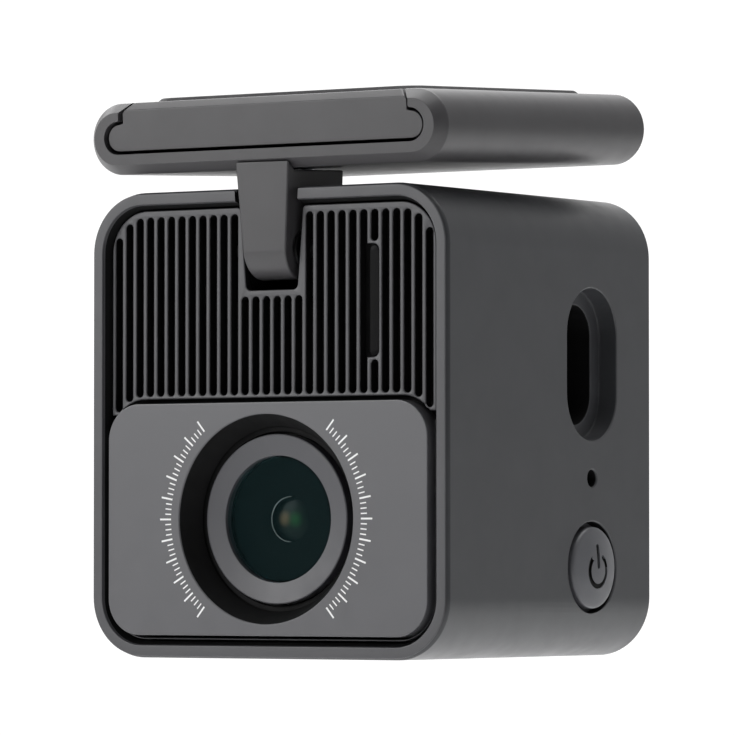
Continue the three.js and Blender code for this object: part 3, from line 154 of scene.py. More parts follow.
BUTTON_DOME = 0.6
BUTTON_FLANGE_R = 6.1
BUTTON_FLANGE = (23.2, 23.8)
BUTTON_STEM = (22.0, 1.5)
BUTTON_ROUND = 0.32
FLANGE_PLAY = 0.3
FLANGE_ROOM_IN = 21
MOUNT_W = 51.2
MOUNT_H = 8.66
MOUNT_L = 46.3
CHAMFER_IN = 1.16
CHAMFER_BACK = 1.44
END_WALL = 2.0
PLATE_GAP = 0.4
LOBE_HALF = 22.6
NECK_HALF = 20.45
TOP_HALF = 19.25
LOBE_R = 1.6
LOBE_Z = 0.1
NECK_Z = 1.85
FLARE_Z = 3.1
PLATE_CHAMFER = 0.9
PAD_FRONT = 4.2
PAD_BACK = 43.4
PAD_HALF_W = 19.0
PAD_T = 0.5
PAD_GLUE = 0.03
PAD_R = 2.5
ARM_TOP_HALF = 3.85
ARM_FOOT_HALF = 3.1
ARM_LENGTH = 14.0
ARM_BACK = 11.9
ARM_BACK_DROP = 9.2
KNUCKLE_R = 3.6
COVER_T = 1.8
COVER_SUNK = 0.3
COVER_Y = BODY_D - COVER_SUNK - COVER_T
SPEAKER_Z = 11.0
SPEAKER_R = 10.0
SOUND_SLOTS = 7
SOUND_PITCH = 2.4
BOSS_IN_X, BOSS_IN_Z = 4.9, 5.4
SCREW_HOLE_R = 2.0

MOUNT_TURN = Matrix.Rotation(MOUNT_TILT, 4, "X")
MOUNT_ORIGIN = MOUNT_TURN @ Vector((0, -(PAD_FRONT + PAD_BACK) / 2, -(MOUNT_H / 2 + PAD_GLUE + PAD_T)))
TO_METRES = Matrix.Scale(0.001, 4)
CAMERA_PLACE = TO_METRES @ Matrix.Translation(CAMERA_ORIGIN)
MOUNT_PLACE = TO_METRES @ Matrix.Translation(MOUNT_ORIGIN) @ MOUNT_TURN

CORNER_STEPS = 18
ROUND = 96
SHARP_ANGLE = 35


# ------------------------------------------------------------------ outlines, as lists of (across, up)
def arc(x, y, radius, start, end, steps):
    angles = [math.radians(start + (end - start) * i / steps) for i in range(steps + 1)]
    return [(x + radius * math.cos(a), y + radius * math.sin(a)) for a in angles]


def rounded_rect(width, height, radius, x=0.0, y=0.0, steps=CORNER_STEPS):
    w, h = width / 2 - radius, height / 2 - radius
    return (
        arc(x + w, y + h, radius, 0, 90, steps)
        + arc(x - w, y + h, radius, 90, 180, steps)
        + arc(x - w, y - h, radius, 180, 270, steps)
        + arc(x + w, y - h, radius, 270, 360, steps)
    )


def stadium(width, height, x=0.0, y=0.0, steps=20):
    """An upright slot with round ends."""
    r, straight = width / 2, (height - width) / 2
    return arc(x, y + straight, r, 0, 180, steps) + arc(x, y - straight, r, 180, 360, steps)


def lying_bar(width, height):
    """A level bar with round ends."""
    r, straight, steps = height / 2, (width - height) / 2, 24
    return arc(straight, 0, r, -90, 90, steps) + arc(-straight, 0, r, 90, 270, steps)


def circle(radius, x=0.0, y=0.0, steps=ROUND):
    return arc(x, y, radius, 0, 360 - 360 / steps, steps - 1)


def body_outline(inset):
    return rounded_rect(BODY_W - 2 * inset, BODY_H - 2 * inset, BODY_R - inset)


def panel_outline(inset):
    return rounded_rect(PANEL_W - 2 * inset, PANEL_H - 2 * inset, PANEL_R - inset, 0, LENS_Z)


def top_edge(x, half_width, top, radius):
    """Height of a round-cornered outline's top edge at x."""
    past = abs(x) - (half_width - radius)
    return top if past <= 0 else top - radius + math.sqrt(max(radius * radius - past * past, 0))


def notch_half(z):
    return NOTCH_TOP_HALF + (NOTCH_FOOT_HALF - NOTCH_TOP_HALF) * (HALF_H - z) / NOTCH_DEPTH


# ------------------------------------------------------------------ mesh building
def place(axis, u, v, depth):
    return {"X": (depth, u, v), "Y": (u, depth, v), "Z": (u, v, depth)}[axis]


def to_object(name, mesh):
    bmesh.ops.remove_doubles(mesh, verts=mesh.verts, dist=1e-5)
    bmesh.ops.recalc_face_normals(mesh, faces=mesh.faces)
    data = bpy.data.meshes.new(name)
    mesh.to_mesh(data)
    mesh.free()
    obj = bpy.data.objects.new(name, data)
    scene.collection.objects.link(obj)
    return obj


def loft(name, axis, outline, profile, loop=False):
    """A skin through outline(inset) at each (depth, inset). It is capped, or joined end to start."""
    mesh = bmesh.new()
    rows = [[mesh.verts.new(place(axis, u, v, depth)) for u, v in outline(inset)] for depth, inset in profile]
    pairs = list(zip(rows, rows[1:])) + ([(rows[-1], rows[0])] if loop else [])
    for low, high in pairs:
        for i in range(len(low)):
            j = (i + 1) % len(low)
            mesh.faces.new((low[i], low[j], high[j], high[i]))
    if not loop:
        mesh.faces.new(rows[0])
        mesh.faces.new(rows[-1])
    return to_object(name, mesh)


def lathe(name, axis, profile, x=0.0, y=0.0, loop=False, steps=ROUND):
    """Turns (depth, radius) pairs about a line parallel to an axis."""
    return loft(name, axis, lambda radius: circle(max(radius, 1e-7), x, y, steps), profile, loop)


def prism(name, axis, outline, front, back):
    return loft(name, axis, lambda inset: outline, [(front, 0), (back, 0)])


def block(name, low, high):
    outline = [(low[0], low[2]), (high[0], low[2]), (high[0], high[2]), (low[0], high[2])]
    return prism(name, "Y", outline, low[1], high[1])


def shown_mesh(obj):
    depsgraph = bpy.context.evaluated_depsgraph_get()
    return bpy.data.meshes.new_from_object(obj.evaluated_get(depsgraph))


def plate(name, axis, loops, front, back, edge, steps=2):
    """A flat plate with holes and rounded edges. The first loop is its outline."""
    curve = bpy.data.curves.new(name, "CURVE")
    curve.dimensions = "2D"
    curve.fill_mode = "BOTH"
    curve.extrude = (back - front) / 2 - edge
    curve.bevel_depth = edge
    curve.bevel_resolution = steps
    curve.offset = -edge
    for loop in loops:
        spline = curve.splines.new("POLY")
        spline.points.add(len(loop) - 1)
        for point, (u, v) in zip(spline.points, loop):
            point.co = (u, v, 0, 1)
        spline.use_cyclic_u = True
    drawn = bpy.data.objects.new(name, curve)
    scene.collection.objects.link(drawn)
    mesh = bmesh.new()
    mesh.from_mesh(shown_mesh(drawn))
    bpy.data.objects.remove(drawn)
    for vertex in mesh.verts:
        u, v, depth = vertex.co
        vertex.co = place(axis, u, v, (front + back) / 2 + depth)
    bmesh.ops.remove_doubles(mesh, verts=mesh.verts, dist=1e-4)
    return to_object(name, mesh)


def combine(base, tools, operation="DIFFERENCE"):
    """Cuts the tools out of base, or joins them to it, and removes them."""
    for tool in tools:
        step = base.modifiers.new("combine", "BOOLEAN")
        step.object = tool
        step.operation = operation
        step.solver = "EXACT"
    data = shown_mesh(base)
    base.modifiers.clear()
    base.data = data
    for tool in tools:
        bpy.data.objects.remove(tool)
    return base


def round_edges(obj, width, steps=2):
    """Rounds the sharp edges of a mesh made of flat faces."""
    mesh = bmesh.new()
    mesh.from_mesh(obj.data)
    bmesh.ops.remove_doubles(mesh, verts=mesh.verts, dist=1e-4)
    bmesh.ops.dissolve_limit(mesh, angle_limit=math.radians(0.5), verts=mesh.verts, edges=mesh.edges)
    mesh.to_mesh(obj.data)
    mesh.free()
    step = obj.modifiers.new("edges", "BEVEL")
    step.width = width
    step.segments = steps
    step.limit_method = "ANGLE"
    step.angle_limit = math.radians(SHARP_ANGLE)
    step.use_clamp_overlap = True
    data = shown_mesh(obj)
    obj.modifiers.clear()
    obj.data = data
    return obj


def piece(obj, where, body, material, nodes=(), smooth=36):
    """Puts a finished mesh in the row frame on its body, with its material and shading."""
    obj.data.transform(where)
    obj.data.materials.clear()
    obj.data.materials.append(material)
    obj.data.shade_smooth()
    obj.data.set_sharp_from_angle(angle=math.radians(smooth))
    normals = obj.modifiers.new("normals", "WEIGHTED_NORMAL")
    normals.keep_sharp = True
    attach(obj, body)
    if nodes:
        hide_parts(*nodes)
    return obj


def paint_faces(obj, material, inside):
    """Gives a second material to the faces whose middle, in row-frame millimetres, is inside."""
    obj.data.materials.append(material)
    index = len(obj.data.materials) - 1
    for face in obj.data.polygons:
        if inside(face.center * 1000):
            face.material_index = index


# ------------------------------------------------------------------ materials
CLOUD_SCALE = 160.0
GLOSS_SCALE = 420.0


def srgb(red, green, blue):
    def linear(value):
        share = value / 255
        return share / 12.92 if share <= 0.04045 else ((share + 0.055) / 1.055) ** 2.4

    return (linear(red), linear(green), linear(blue), 1.0)


def new_material(name):
    material = bpy.data.materials.new(name)
    material.use_nodes = True
    tree = material.node_tree
    shader = tree.nodes["Principled BSDF"]
    return material, tree, shader


def noise(tree, coordinates, scale, detail=3.0):
    node = tree.nodes.new("ShaderNodeTexNoise")
    node.inputs["Scale"].default_value = scale
    node.inputs["Detail"].default_value = detail
    tree.links.new(coordinates, node.inputs["Vector"])
    return node.outputs["Fac"]


def between(tree, factor, low, high):
    node = tree.nodes.new("ShaderNodeMapRange")
    node.inputs["From Min"].default_value = 0.3
    node.inputs["From Max"].default_value = 0.7
    node.inputs["To Min"].default_value = low
    node.inputs["To Max"].default_value = high
    tree.links.new(factor, node.inputs["Value"])
    return node.outputs["Result"]


def two_tones(tree, factor, dark, light):
    node = tree.nodes.new("ShaderNodeValToRGB")
    node.color_ramp.elements[0].position = 0.3
    node.color_ramp.elements[0].color = dark
    node.color_ramp.elements[1].position = 0.7
    node.color_ramp.elements[1].color = light
    tree.links.new(factor, node.inputs["Fac"])
    return node.outputs["Color"]


def bump(tree, height, strength, distance):
    node = tree.nodes.new("ShaderNodeBump")
    node.inputs["Strength"].default_value = strength
    node.inputs["Distance"].default_value = distance
    tree.links.new(height, node.inputs["Height"])
    return node.outputs["Normal"]


def surface(name, tone, spread=0.06, rough=(0.42, 0.52), grain=5000.0, depth=6e-6, strength=0.25,
            metallic=0.0, specular=0.5):
    """A moulded, painted or plain metal surface: fine grain, faint mottling and uneven gloss."""
    material, tree, shader = new_material(name)
    place_node = tree.nodes.new("ShaderNodeTexCoord")
    where = place_node.outputs["Object"]
    dark = tuple(c * (1 - spread) for c in tone[:3]) + (1.0,)
    light = tuple(min(c * (1 + spread), 1.0) for c in tone[:3]) + (1.0,)
    cloud = noise(tree, where, CLOUD_SCALE)
    tree.links.new(two_tones(tree, cloud, dark, light), shader.inputs["Base Color"])
    gloss = noise(tree, where, GLOSS_SCALE)
    tree.links.new(between(tree, gloss, *rough), shader.inputs["Roughness"])
    tree.links.new(bump(tree, noise(tree, where, grain, 2.0), strength, depth), shader.inputs["Normal"])
    shader.inputs["Metallic"].default_value = metallic
    shader.inputs["Specular IOR Level"].default_value = specular
    return material


def brushed(name, tone, rough=(0.28, 0.42)):
    """Plated or rolled metal with fine lines along Y."""
    material, tree, shader = new_material(name)
    place_node = tree.nodes.new("ShaderNodeTexCoord")
    stretch = tree.nodes.new("ShaderNodeMapping")
    stretch.inputs["Scale"].default_value = (6000, 500, 6000)
    tree.links.new(place_node.outputs["Object"], stretch.inputs["Vector"])
    lines = noise(tree, stretch.outputs["Vector"], 1.0, 2.0)
    dark = tuple(c * 0.86 for c in tone[:3]) + (1.0,)
    tree.links.new(two_tones(tree, lines, dark, tone), shader.inputs["Base Color"])
    tree.links.new(between(tree, lines, *rough), shader.inputs["Roughness"])
    tree.links.new(bump(tree, lines, 0.2, 4e-6), shader.inputs["Normal"])
    shader.inputs["Metallic"].default_value = 1.0
    return material


def board_finish(name):
    """Green solder mask with lighter traces."""
    material, tree, shader = new_material(name)
    place_node = tree.nodes.new("ShaderNodeTexCoord")
    traces = tree.nodes.new("ShaderNodeTexBrick")
    traces.inputs["Scale"].default_value = 260.0
    traces.inputs["Mortar Size"].default_value = 0.05
    traces.inputs["Color1"].default_value = srgb(20, 72, 48)
    traces.inputs["Color2"].default_value = srgb(24, 80, 52)
    traces.inputs["Mortar"].default_value = srgb(44, 110, 72)
    turn = tree.nodes.new("ShaderNodeMapping")
    turn.inputs["Rotation"].default_value = (math.radians(90), 0, 0)
    tree.links.new(place_node.outputs["Object"], turn.inputs["Vector"])
    tree.links.new(turn.outputs["Vector"], traces.inputs["Vector"])
    tree.links.new(traces.outputs["Color"], shader.inputs["Base Color"])
    shader.inputs["Roughness"].default_value = 0.45
    return material


def coated_glass(name, tint, share):
    """Thin clear glass: mostly see-through, with a coloured coating's faint reflection."""
    material = bpy.data.materials.new(name)
    material.use_nodes = True
    tree = material.node_tree
    tree.nodes.remove(tree.nodes["Principled BSDF"])
    clear = tree.nodes.new("ShaderNodeBsdfTransparent")
    clear.inputs["Color"].default_value = (0.8, 0.84, 0.84, 1)
    gloss = tree.nodes.new("ShaderNodeBsdfGlossy")
    gloss.inputs["Color"].default_value = tint
    gloss.inputs["Roughness"].default_value = 0.04
    edge = tree.nodes.new("ShaderNodeLayerWeight")
    edge.inputs["Blend"].default_value = 0.08
    rise = tree.nodes.new("ShaderNodeMapRange")
    rise.inputs["To Min"].default_value = share
    rise.inputs["To Max"].default_value = 0.3
    mix = tree.nodes.new("ShaderNodeMixShader")
    tree.links.new(edge.outputs["Facing"], rise.inputs["Value"])
    tree.links.new(rise.outputs["Result"], mix.inputs["Fac"])
    tree.links.new(clear.outputs["BSDF"], mix.inputs[1])
    tree.links.new(gloss.outputs["BSDF"], mix.inputs[2])
    tree.links.new(mix.outputs["Shader"], tree.nodes["Material Output"].inputs["Surface"])
    return material


def element_painted_reflections(name, centre):
    """Dark optical element with painted reflections: a faint broad glow, and one brownish and one greenish
    patch of light off its coating.
    """
    material, tree, shader = new_material(name)
    place_node = tree.nodes.new("ShaderNodeTexCoord")

    def patch(offset_x, offset_z, radius, low, high):
        shift = tree.nodes.new("ShaderNodeVectorMath")
        shift.operation = "DISTANCE"
        spot = centre + Vector((offset_x, 0, offset_z)) / 1000
        shift.inputs[1].default_value = spot
        tree.links.new(place_node.outputs["Object"], shift.inputs[0])
        ramp = tree.nodes.new("ShaderNodeMapRange")
        ramp.interpolation_type = "SMOOTHSTEP"
        ramp.inputs["From Min"].default_value = 0.0
        ramp.inputs["From Max"].default_value = radius / 1000
        ramp.inputs["To Min"].default_value = high
        ramp.inputs["To Max"].default_value = low
        tree.links.new(shift.outputs["Value"], ramp.inputs["Value"])
        return ramp.outputs["Result"]

    def blend(factor, below, above):
        node = tree.nodes.new("ShaderNodeMix")
        node.data_type = "RGBA"
        tree.links.new(factor, node.inputs["Factor"])
        if isinstance(below, tuple):
            node.inputs[6].default_value = below
        else:
            tree.links.new(below, node.inputs[6])
        node.inputs[7].default_value = above
        return node.outputs[2]

    # Painted reflections on the dark element: a broad glow, then a brownish and a greenish spot.
    painted_glow = blend(patch(0.2, 0.0, 2.6, 0.0, 0.6), srgb(12, 19, 19), srgb(50, 62, 50))
    brown_reflection = blend(patch(-1.0, 0.1, 1.3, 0.0, 0.9), painted_glow, srgb(128, 106, 80))
    green = blend(patch(0.5, 0.0, 1.3, 0.0, 0.9), brown_reflection, srgb(44, 98, 54))
    tree.links.new(green, shader.inputs["Base Color"])
    shader.inputs["Roughness"].default_value = 0.3
    shader.inputs["Specular IOR Level"].default_value = 0.1
    return material


SHELL = surface("shell_plastic", srgb(57, 58, 61), rough=(0.36, 0.42), strength=0.12)
RIM = surface("rim_plastic", srgb(69, 69, 72), rough=(0.38, 0.44), strength=0.12)
BRACKET = surface("bracket_plastic", srgb(63, 62, 64), rough=(0.36, 0.42), grain=4200.0, strength=0.12)
PANEL = surface("panel_plastic", srgb(86, 86, 89), spread=0.02, rough=(0.3, 0.36), grain=9000.0, depth=2e-6)
BLACK = surface("black_plastic", srgb(14, 14, 15), rough=(0.5, 0.62))
# Near-black painted shade, laid on faces inside holes, slots and seams, and on sheets behind the front, where
# shade falls.
PAINTED_SHADE = surface("painted_shade_black", srgb(9, 9, 10), rough=(0.65, 0.75), specular=0.2)
# The button's own grey, lightened to stand in for the highlights on its dome: partly painted light.
BUTTON_LIGHTENED = surface("button_plastic_lightened", srgb(84, 85, 89), rough=(0.34, 0.4), grain=6500.0, depth=3e-6)
SMOKE = surface("smoked_plastic", srgb(9, 9, 10), spread=0.02, rough=(0.3, 0.36), grain=9000.0, depth=1e-6,
                specular=0.06)
RING = surface("ring_plastic", srgb(74, 74, 78), spread=0.03, rough=(0.38, 0.46), grain=7000.0, depth=3e-6)
LENS_BLACK = surface("lens_black", srgb(7, 13, 13), spread=0.02, rough=(0.6, 0.66), grain=9000.0, depth=5e-7,
                     strength=0.05, specular=0.05)
RUBBER = surface("rubber", srgb(20, 20, 21), rough=(0.7, 0.85), grain=3000.0)
ADHESIVE = surface("adhesive", srgb(52, 51, 53), rough=(0.75, 0.9), grain=2600.0, depth=4e-5, strength=0.5)
STEEL = brushed("steel", srgb(186, 187, 190))
SINK = brushed("heat_sink", srgb(178, 180, 184), rough=(0.4, 0.55))
BOARD = board_finish("circuit_board")
CHIP = surface("chip", srgb(28, 29, 31), rough=(0.5, 0.6), grain=6500.0)
COPPER = surface("copper_flex", srgb(168, 116, 58), rough=(0.3, 0.42), specular=0.6)
LAMP = surface("lamp", srgb(232, 228, 214), rough=(0.2, 0.3))
# White: real print on the scale marks, and a painted highlight inside the lens barrel.
INK_AND_PAINTED_HIGHLIGHT = surface("white_ink_and_painted_highlight", srgb(236, 236, 236), spread=0.02, rough=(0.5, 0.6))
GLASS = coated_glass("lens_glass", (0.42, 0.93, 1.0, 1), 0.006)
ELEMENT_CENTRE = CAMERA_PLACE @ Vector((0, 5.6, LENS_Z))
ELEMENT_REFLECTIONS = element_painted_reflections("element_painted_reflections", ELEMENT_CENTRE)
HINGE_STEEL = surface("blackened_steel", srgb(16, 16, 17), rough=(0.45, 0.55), metallic=0.6, specular=0.3)

SLOT_MATERIALS = {
    "shell_plastic": SHELL,
    "bracket_plastic": BRACKET,
    "panel_plastic": PANEL,
    "black_plastic": BLACK,
    "smoked_plastic": SMOKE,
    "ring_plastic": RING,
    "lens_glass": GLASS,
    "rubber": RUBBER,
    "adhesive": ADHESIVE,
    "steel": STEEL,
    "heat_sink": SINK,
    "circuit_board": BOARD,
    "chip": CHIP,
    "copper_flex": COPPER,
    "lamp": LAMP,
}
for entry in frame["record"]["subparts"]:
    node = frame["nodes"][entry["node"]]
    node.data.materials.clear()
    node.data.materials.append(SLOT_MATERIALS[entry["material_slot"]])


def camera_piece(obj, material, nodes=(), smooth=36):
    return piece(obj, CAMERA_PLACE, "camera", material, nodes, smooth)


# ------------------------------------------------------------------ housing
LIP = [(1.0, -0.3), (0.02, -0.24), (-0.04, -0.12), (-0.12, -0.03), (-0.24, 0.0)]


def side_hole(name, outline, side, depth):
    """A cutter for a hole in the left or right wall, with a rounded lip. outline takes an inset."""
    profile = [(side * (HALF_W + out), inset) for out, inset in LIP] + [(side * (HALF_W - depth), 0.0)]
    return loft(name, "X", outline, profile)


def pocket_outline(inset):
    return stadium(POCKET_W - 2 * inset, POCKET_H - 2 * inset, CONTROL_Y, POCKET_Z)


def notch_outline():
    top, foot = HALF_H + 2, HALF_H - NOTCH_DEPTH
    wide, narrow = notch_half(top), notch_half(foot)
    r = 0.7
    corners = arc(-narrow + r, foot + r, r, 180, 270, 6) + arc(narrow - r, foot + r, r, 270, 360, 6)
    return [(-wide, top)] + corners + [(wide, top)]


def card_slot_outline(inset):
    return stadium(2.0 - 2 * inset, 12.8 - 2 * inset, CARD_Y, CARD_Z)


def housing():
    skin = [
        (0.42, 0.40), (0.46, 0.31), (0.72, 0.05), (0.82, 0.0), (46.0, 0.0), (46.2, 0.05), (BODY_D, 0.2),
        (BODY_D, 1.45), (46.15, 1.6), (3.3, 1.6), (3.3, LIP_WALL), (0.46, LIP_WALL),
    ]
    shell = loft("housing_shell", "Y", body_outline, skin, loop=True)
    half = NOTCH_TOP_HALF + BAY_WALL
    bay = block("bay", (-half, 2.62, HALF_H - NOTCH_DEPTH - 1), (half, NOTCH_BACK + BAY_WALL, HALF_H - 0.8))
    tube_in, tube_step = POCKET_TUBE
    narrow, wide = 0.8, -1.2
    tube = loft(
        "tube", "X", pocket_outline,
        [(tube_in, narrow), (tube_step, narrow), (tube_step, wide), (HALF_W - 0.8, wide)],
    )
    combine(shell, [bay, tube], "UNION")
    step = HALF_W - POCKET_STEP
    recess = [(HALF_W + out, inset) for out, inset in LIP]
    recess += [(step + 0.35, 0.0), (step + 0.1, 0.1), (step, 0.35), (step, POCKET_FLARE - 0.2)]
    recess += [(step - 0.06, POCKET_FLARE - 0.06), (step - 0.2, POCKET_FLARE)]
    recess += [(HALF_W - POCKET_DEPTH, POCKET_FLARE)]
    flange_room = circle(BUTTON_FLANGE_R + FLANGE_PLAY, CONTROL_Y, BUTTON_Z)
    cutters = [
        prism("notch", "Y", notch_outline(), -1, NOTCH_BACK),
        loft("pocket", "X", pocket_outline, recess),
        side_hole("mic", lambda i: circle(MIC_R - i, CONTROL_Y, MIC_Z, 40), 1, 3),
        side_hole("button", lambda i: circle(BUTTON_HOLE_R - i, CONTROL_Y, BUTTON_Z), 1, 3),
        side_hole("card", card_slot_outline, -1, 3),
        prism("flange_room", "X", flange_room, FLANGE_ROOM_IN, HALF_W - WALL),
        lathe("pin", "X", [(-8, PIN_R + PIN_PLAY), (8, PIN_R + PIN_PLAY)], PIN_BACK, PIN_Z, steps=48),
        prism("socket", "X", stadium(*SOCKET_HOLE, CONTROL_Y, POCKET_Z), 16, 19),
    ]
    combine(shell, cutters)
    camera_piece(shell, SHELL, ["housing"], smooth=30)
    c = CAMERA_ORIGIN

    def painted_shade_places(p):
        """The places given painted shade, where no light reaches: inside the holes, in the seam behind the
        rim, and the shell's inner side.
        """
        x, y, z = p.x, p.y - c.y, p.z - c.z
        across, up = abs(y - CONTROL_Y), abs(z - POCKET_Z)
        past_step = 16 < x < HALF_W - POCKET_STEP - 0.1
        pocket = past_step and across < POCKET_W / 2 + 0.1 and up < POCKET_H / 2 + 0.1
        in_right_wall = 20 < x < HALF_W - 0.25
        in_left_wall = -HALF_W + 0.25 < x < -HALF_W + 1.7
        button = in_right_wall and math.hypot(y - CONTROL_Y, z - BUTTON_Z) < BUTTON_HOLE_R + 0.1
        mic = in_right_wall and math.hypot(y - CONTROL_Y, z - MIC_Z) < MIC_R + 0.1
        card = in_left_wall and abs(y - CARD_Y) < 1.1 and abs(z - CARD_Z) < 6.6
        corner_x, corner_z = abs(x) - HALF_W + BODY_R, abs(z) - HALF_H + BODY_R
        rounded = corner_x > 0 and corner_z > 0
        inset = BODY_R - math.hypot(corner_x, corner_z) if rounded else BODY_R - max(corner_x, corner_z)
        recess = across < POCKET_W / 2 + 0.3 and up < POCKET_H / 2 + 0.3 and x > 15
        inner = inset > WALL - 0.1 and y < 42 and not recess
        seam = inset > 0.5 and 0.5 < y < 3.35
        return pocket or button or mic or card or inner or seam

    paint_faces(shell, PAINTED_SHADE, painted_shade_places)


# ------------------------------------------------------------------ front frame, grille and panel
def front_frame():
    ring = [
        (3.0, 0.85), (0.47, 0.75), (0.40, 0.56), (0.16, 0.24), (0.12, 0.2), (0.05, 0.21), (0.01, 0.27),
        (0.0, 0.36), (0.0, RIM_OPENING - 0.12), (0.03, RIM_OPENING - 0.04), (0.1, RIM_OPENING + 0.01),
        (0.45, RIM_OPENING + 0.08), (GRILLE_Y, SEAT_INSET), (3.0, SEAT_INSET),
    ]
    rim = loft("front_rim", "Y", body_outline, ring, loop=True)
    combine(rim, [prism("notch", "Y", notch_outline(), -1, 6)])
    camera_piece(rim, RIM, ["front_frame"], smooth=30)
    c = CAMERA_ORIGIN
    # Painted shade: the rim's faces more than 0.3 mm behind its front, its inner wall and seam side, are
    # near-black.
    paint_faces(rim, PAINTED_SHADE, lambda p: p.y - c.y > 0.3)
    # A near-black sheet of painted shade behind the moat round the lens panel.
    shelf_loops = [body_outline(1.9), circle(RING_R + 0.3, 0, LENS_Z)]
    low_half = [(u, min(v, PANEL_TOP + 0.7)) for u, v in shelf_loops[0]]
    shelf = plate("painted_shade_shelf", "Y", [low_half, shelf_loops[1]], SHELF_Y, SHELF_Y + 1, 0.05)
    camera_piece(shelf, PAINTED_SHADE)
    ridge = [(2.9, 2.2), (1.15, 2.22), (1.08, 2.26), (1.08, 2.34), (1.15, 2.38), (2.9, 2.4)]
    moat = loft("moat_ridge", "Y", body_outline, ridge, loop=True)
    combine(moat, [block("above", (-HALF_W, -1, PANEL_TOP - 2.4), (HALF_W, 4, HALF_H))])
    camera_piece(moat, RIM)


def grille_outline():
    foot = 1.2
    half = HALF_W - GRILLE_INSET
    radius = BODY_R - GRILLE_INSET
    top = HALF_H - GRILLE_INSET
    grown = PANEL_R + GRILLE_GAP
    centre_x, centre_z = PANEL_W / 2 - PANEL_R, PANEL_TOP - PANEL_R
    start = math.degrees(math.asin((foot - centre_z) / grown))
    notch = notch_outline()[1:-1]
    right = arc(centre_x, centre_z, grown, 90, start, 14) + [(half, foot)]
    right += arc(half - radius, top - radius, radius, 0, 90, CORNER_STEPS)
    left = [(-u, v) for u, v in reversed(right)]
    shoulder = 0.5
    edge = notch_half(top)
    right_shoulder = arc(edge + shoulder, top - shoulder, shoulder, 90, 180, 5)
    left_shoulder = [(-u, v) for u, v in reversed(right_shoulder)]
    return left + right + right_shoulder + list(reversed(notch)) + left_shoulder


def slot_ends(x):
    past_notch = abs(x) > UNDER_NOTCH * SLOT_PITCH
    arch = top_edge(x, HALF_W - GRILLE_INSET - 0.4, SLOT_TOP, SLOT_CORNER_R)
    top = arch if past_notch else HALF_H - NOTCH_DEPTH - 0.7
    foot_line = top_edge(x, PANEL_W / 2 + GRILLE_GAP, PANEL_TOP + GRILLE_GAP, PANEL_R + GRILLE_GAP)
    return foot_line + SLOT_FOOT_MARGIN, top


def window_slots(x, window_x, foot, top):
    """A full slot whose right side opens into the status window, and the short slots beyond its ends."""
    r, w = SLOT_W / 2, WINDOW_ROUND
    low, high = WINDOW_FOOT, WINDOW_TOP
    joined = arc(x, top - r, r, 90, 180, 8) + arc(x, foot + r, r, 180, 360, 16)
    joined += [(x + r, low)] + arc(window_x, low + w, w, 270, 360, 8)
    joined += arc(window_x, high - w, w, 0, 90, 8) + [(x + r, high)]
    joined += arc(x, top - r, r, 0, 90, 8)[:-1]
    next_x = x + SLOT_PITCH
    above_foot, below_top = WINDOW_TOP + WINDOW_RIB, WINDOW_FOOT - WINDOW_RIB
    above = stadium(SLOT_W, top - above_foot, next_x, (top + above_foot) / 2)
    below = stadium(SLOT_W, below_top - foot, next_x, (below_top + foot) / 2)
    return [joined, above, below]


def grille():
    loops = [grille_outline()]
    for i in range(SLOT_COUNT):
        x = (i + 0.5 - SLOT_COUNT / 2) * SLOT_PITCH
        foot, top = slot_ends(x)
        if i == WINDOW_SLOT:
            loops += window_slots(x, x + WINDOW_OFFSET, foot, top)
        elif i != WINDOW_SLOT + 1:
            loops.append(stadium(SLOT_W, top - foot, x, (top + foot) / 2, 10))
    face = plate("slotted_grille", "Y", loops, GRILLE_Y, GRILLE_Y + GRILLE_T, 0.13, 2)
    camera_piece(face, RIM, ["grille"])
    c = CAMERA_ORIGIN
    # Painted shade on the slot walls and the grille's back.
    paint_faces(face, PAINTED_SHADE, lambda p: p.y - c.y > GRILLE_Y + 0.14)
    # The dust screen is black. It is drawn in the near-black painted-shade finish, which adds the shade that
    # falls behind the slots.
    screen_outline = [(u, max(v, PANEL_TOP + 0.6)) for u, v in body_outline(2.4)]
    half = NOTCH_TOP_HALF + BAY_WALL + 0.3
    screen = plate("grille_screen", "Y", [screen_outline], 2.5, 2.85, 0.04)
    combine(screen, [block("bay", (-half, 0, HALF_H - NOTCH_DEPTH - 1.3), (half, 6, HALF_H))])
    camera_piece(screen, PAINTED_SHADE, ["dust_screen"])
    pane = stadium(1.4, 13.1, 14.44, 14.3)
    window = plate("status_window", "Y", [pane], GRILLE_Y + 0.35, GRILLE_Y + 1.2, 0.12)
    camera_piece(window, SMOKE, ["status_light_pipe"])


def lens_panel():
    e = 0.16
    front, back = PANEL_FRONT, SHELF_Y - 0.3
    body = loft(
        "lens_panel_face", "Y", panel_outline,
        [(back, 0.0), (front + e, 0.0), (front + 0.3 * e, 0.3 * e), (front, e)],
    )
    mouth = [
        (front - 1, MOUTH_R + 0.3), (front, MOUTH_R + 0.12), (front + 0.05, MOUTH_R + 0.03),
        (front + 0.15, MOUTH_R - 0.03), (back + 0.2, THROAT_R),
    ]
    combine(body, [lathe("mouth", "Y", mouth, 0, LENS_Z, steps=128)])
    camera_piece(body, PANEL, ["lens_panel"], smooth=30)
    c = CAMERA_ORIGIN

    def in_mouth(p):
        return p.y - c.y > front + 0.1 and math.hypot(p.x, p.z - c.z - LENS_Z) < MOUTH_R + 0.01

    # Painted shade on the faces inside the lens mouth.
    paint_faces(body, PAINTED_SHADE, in_mouth)


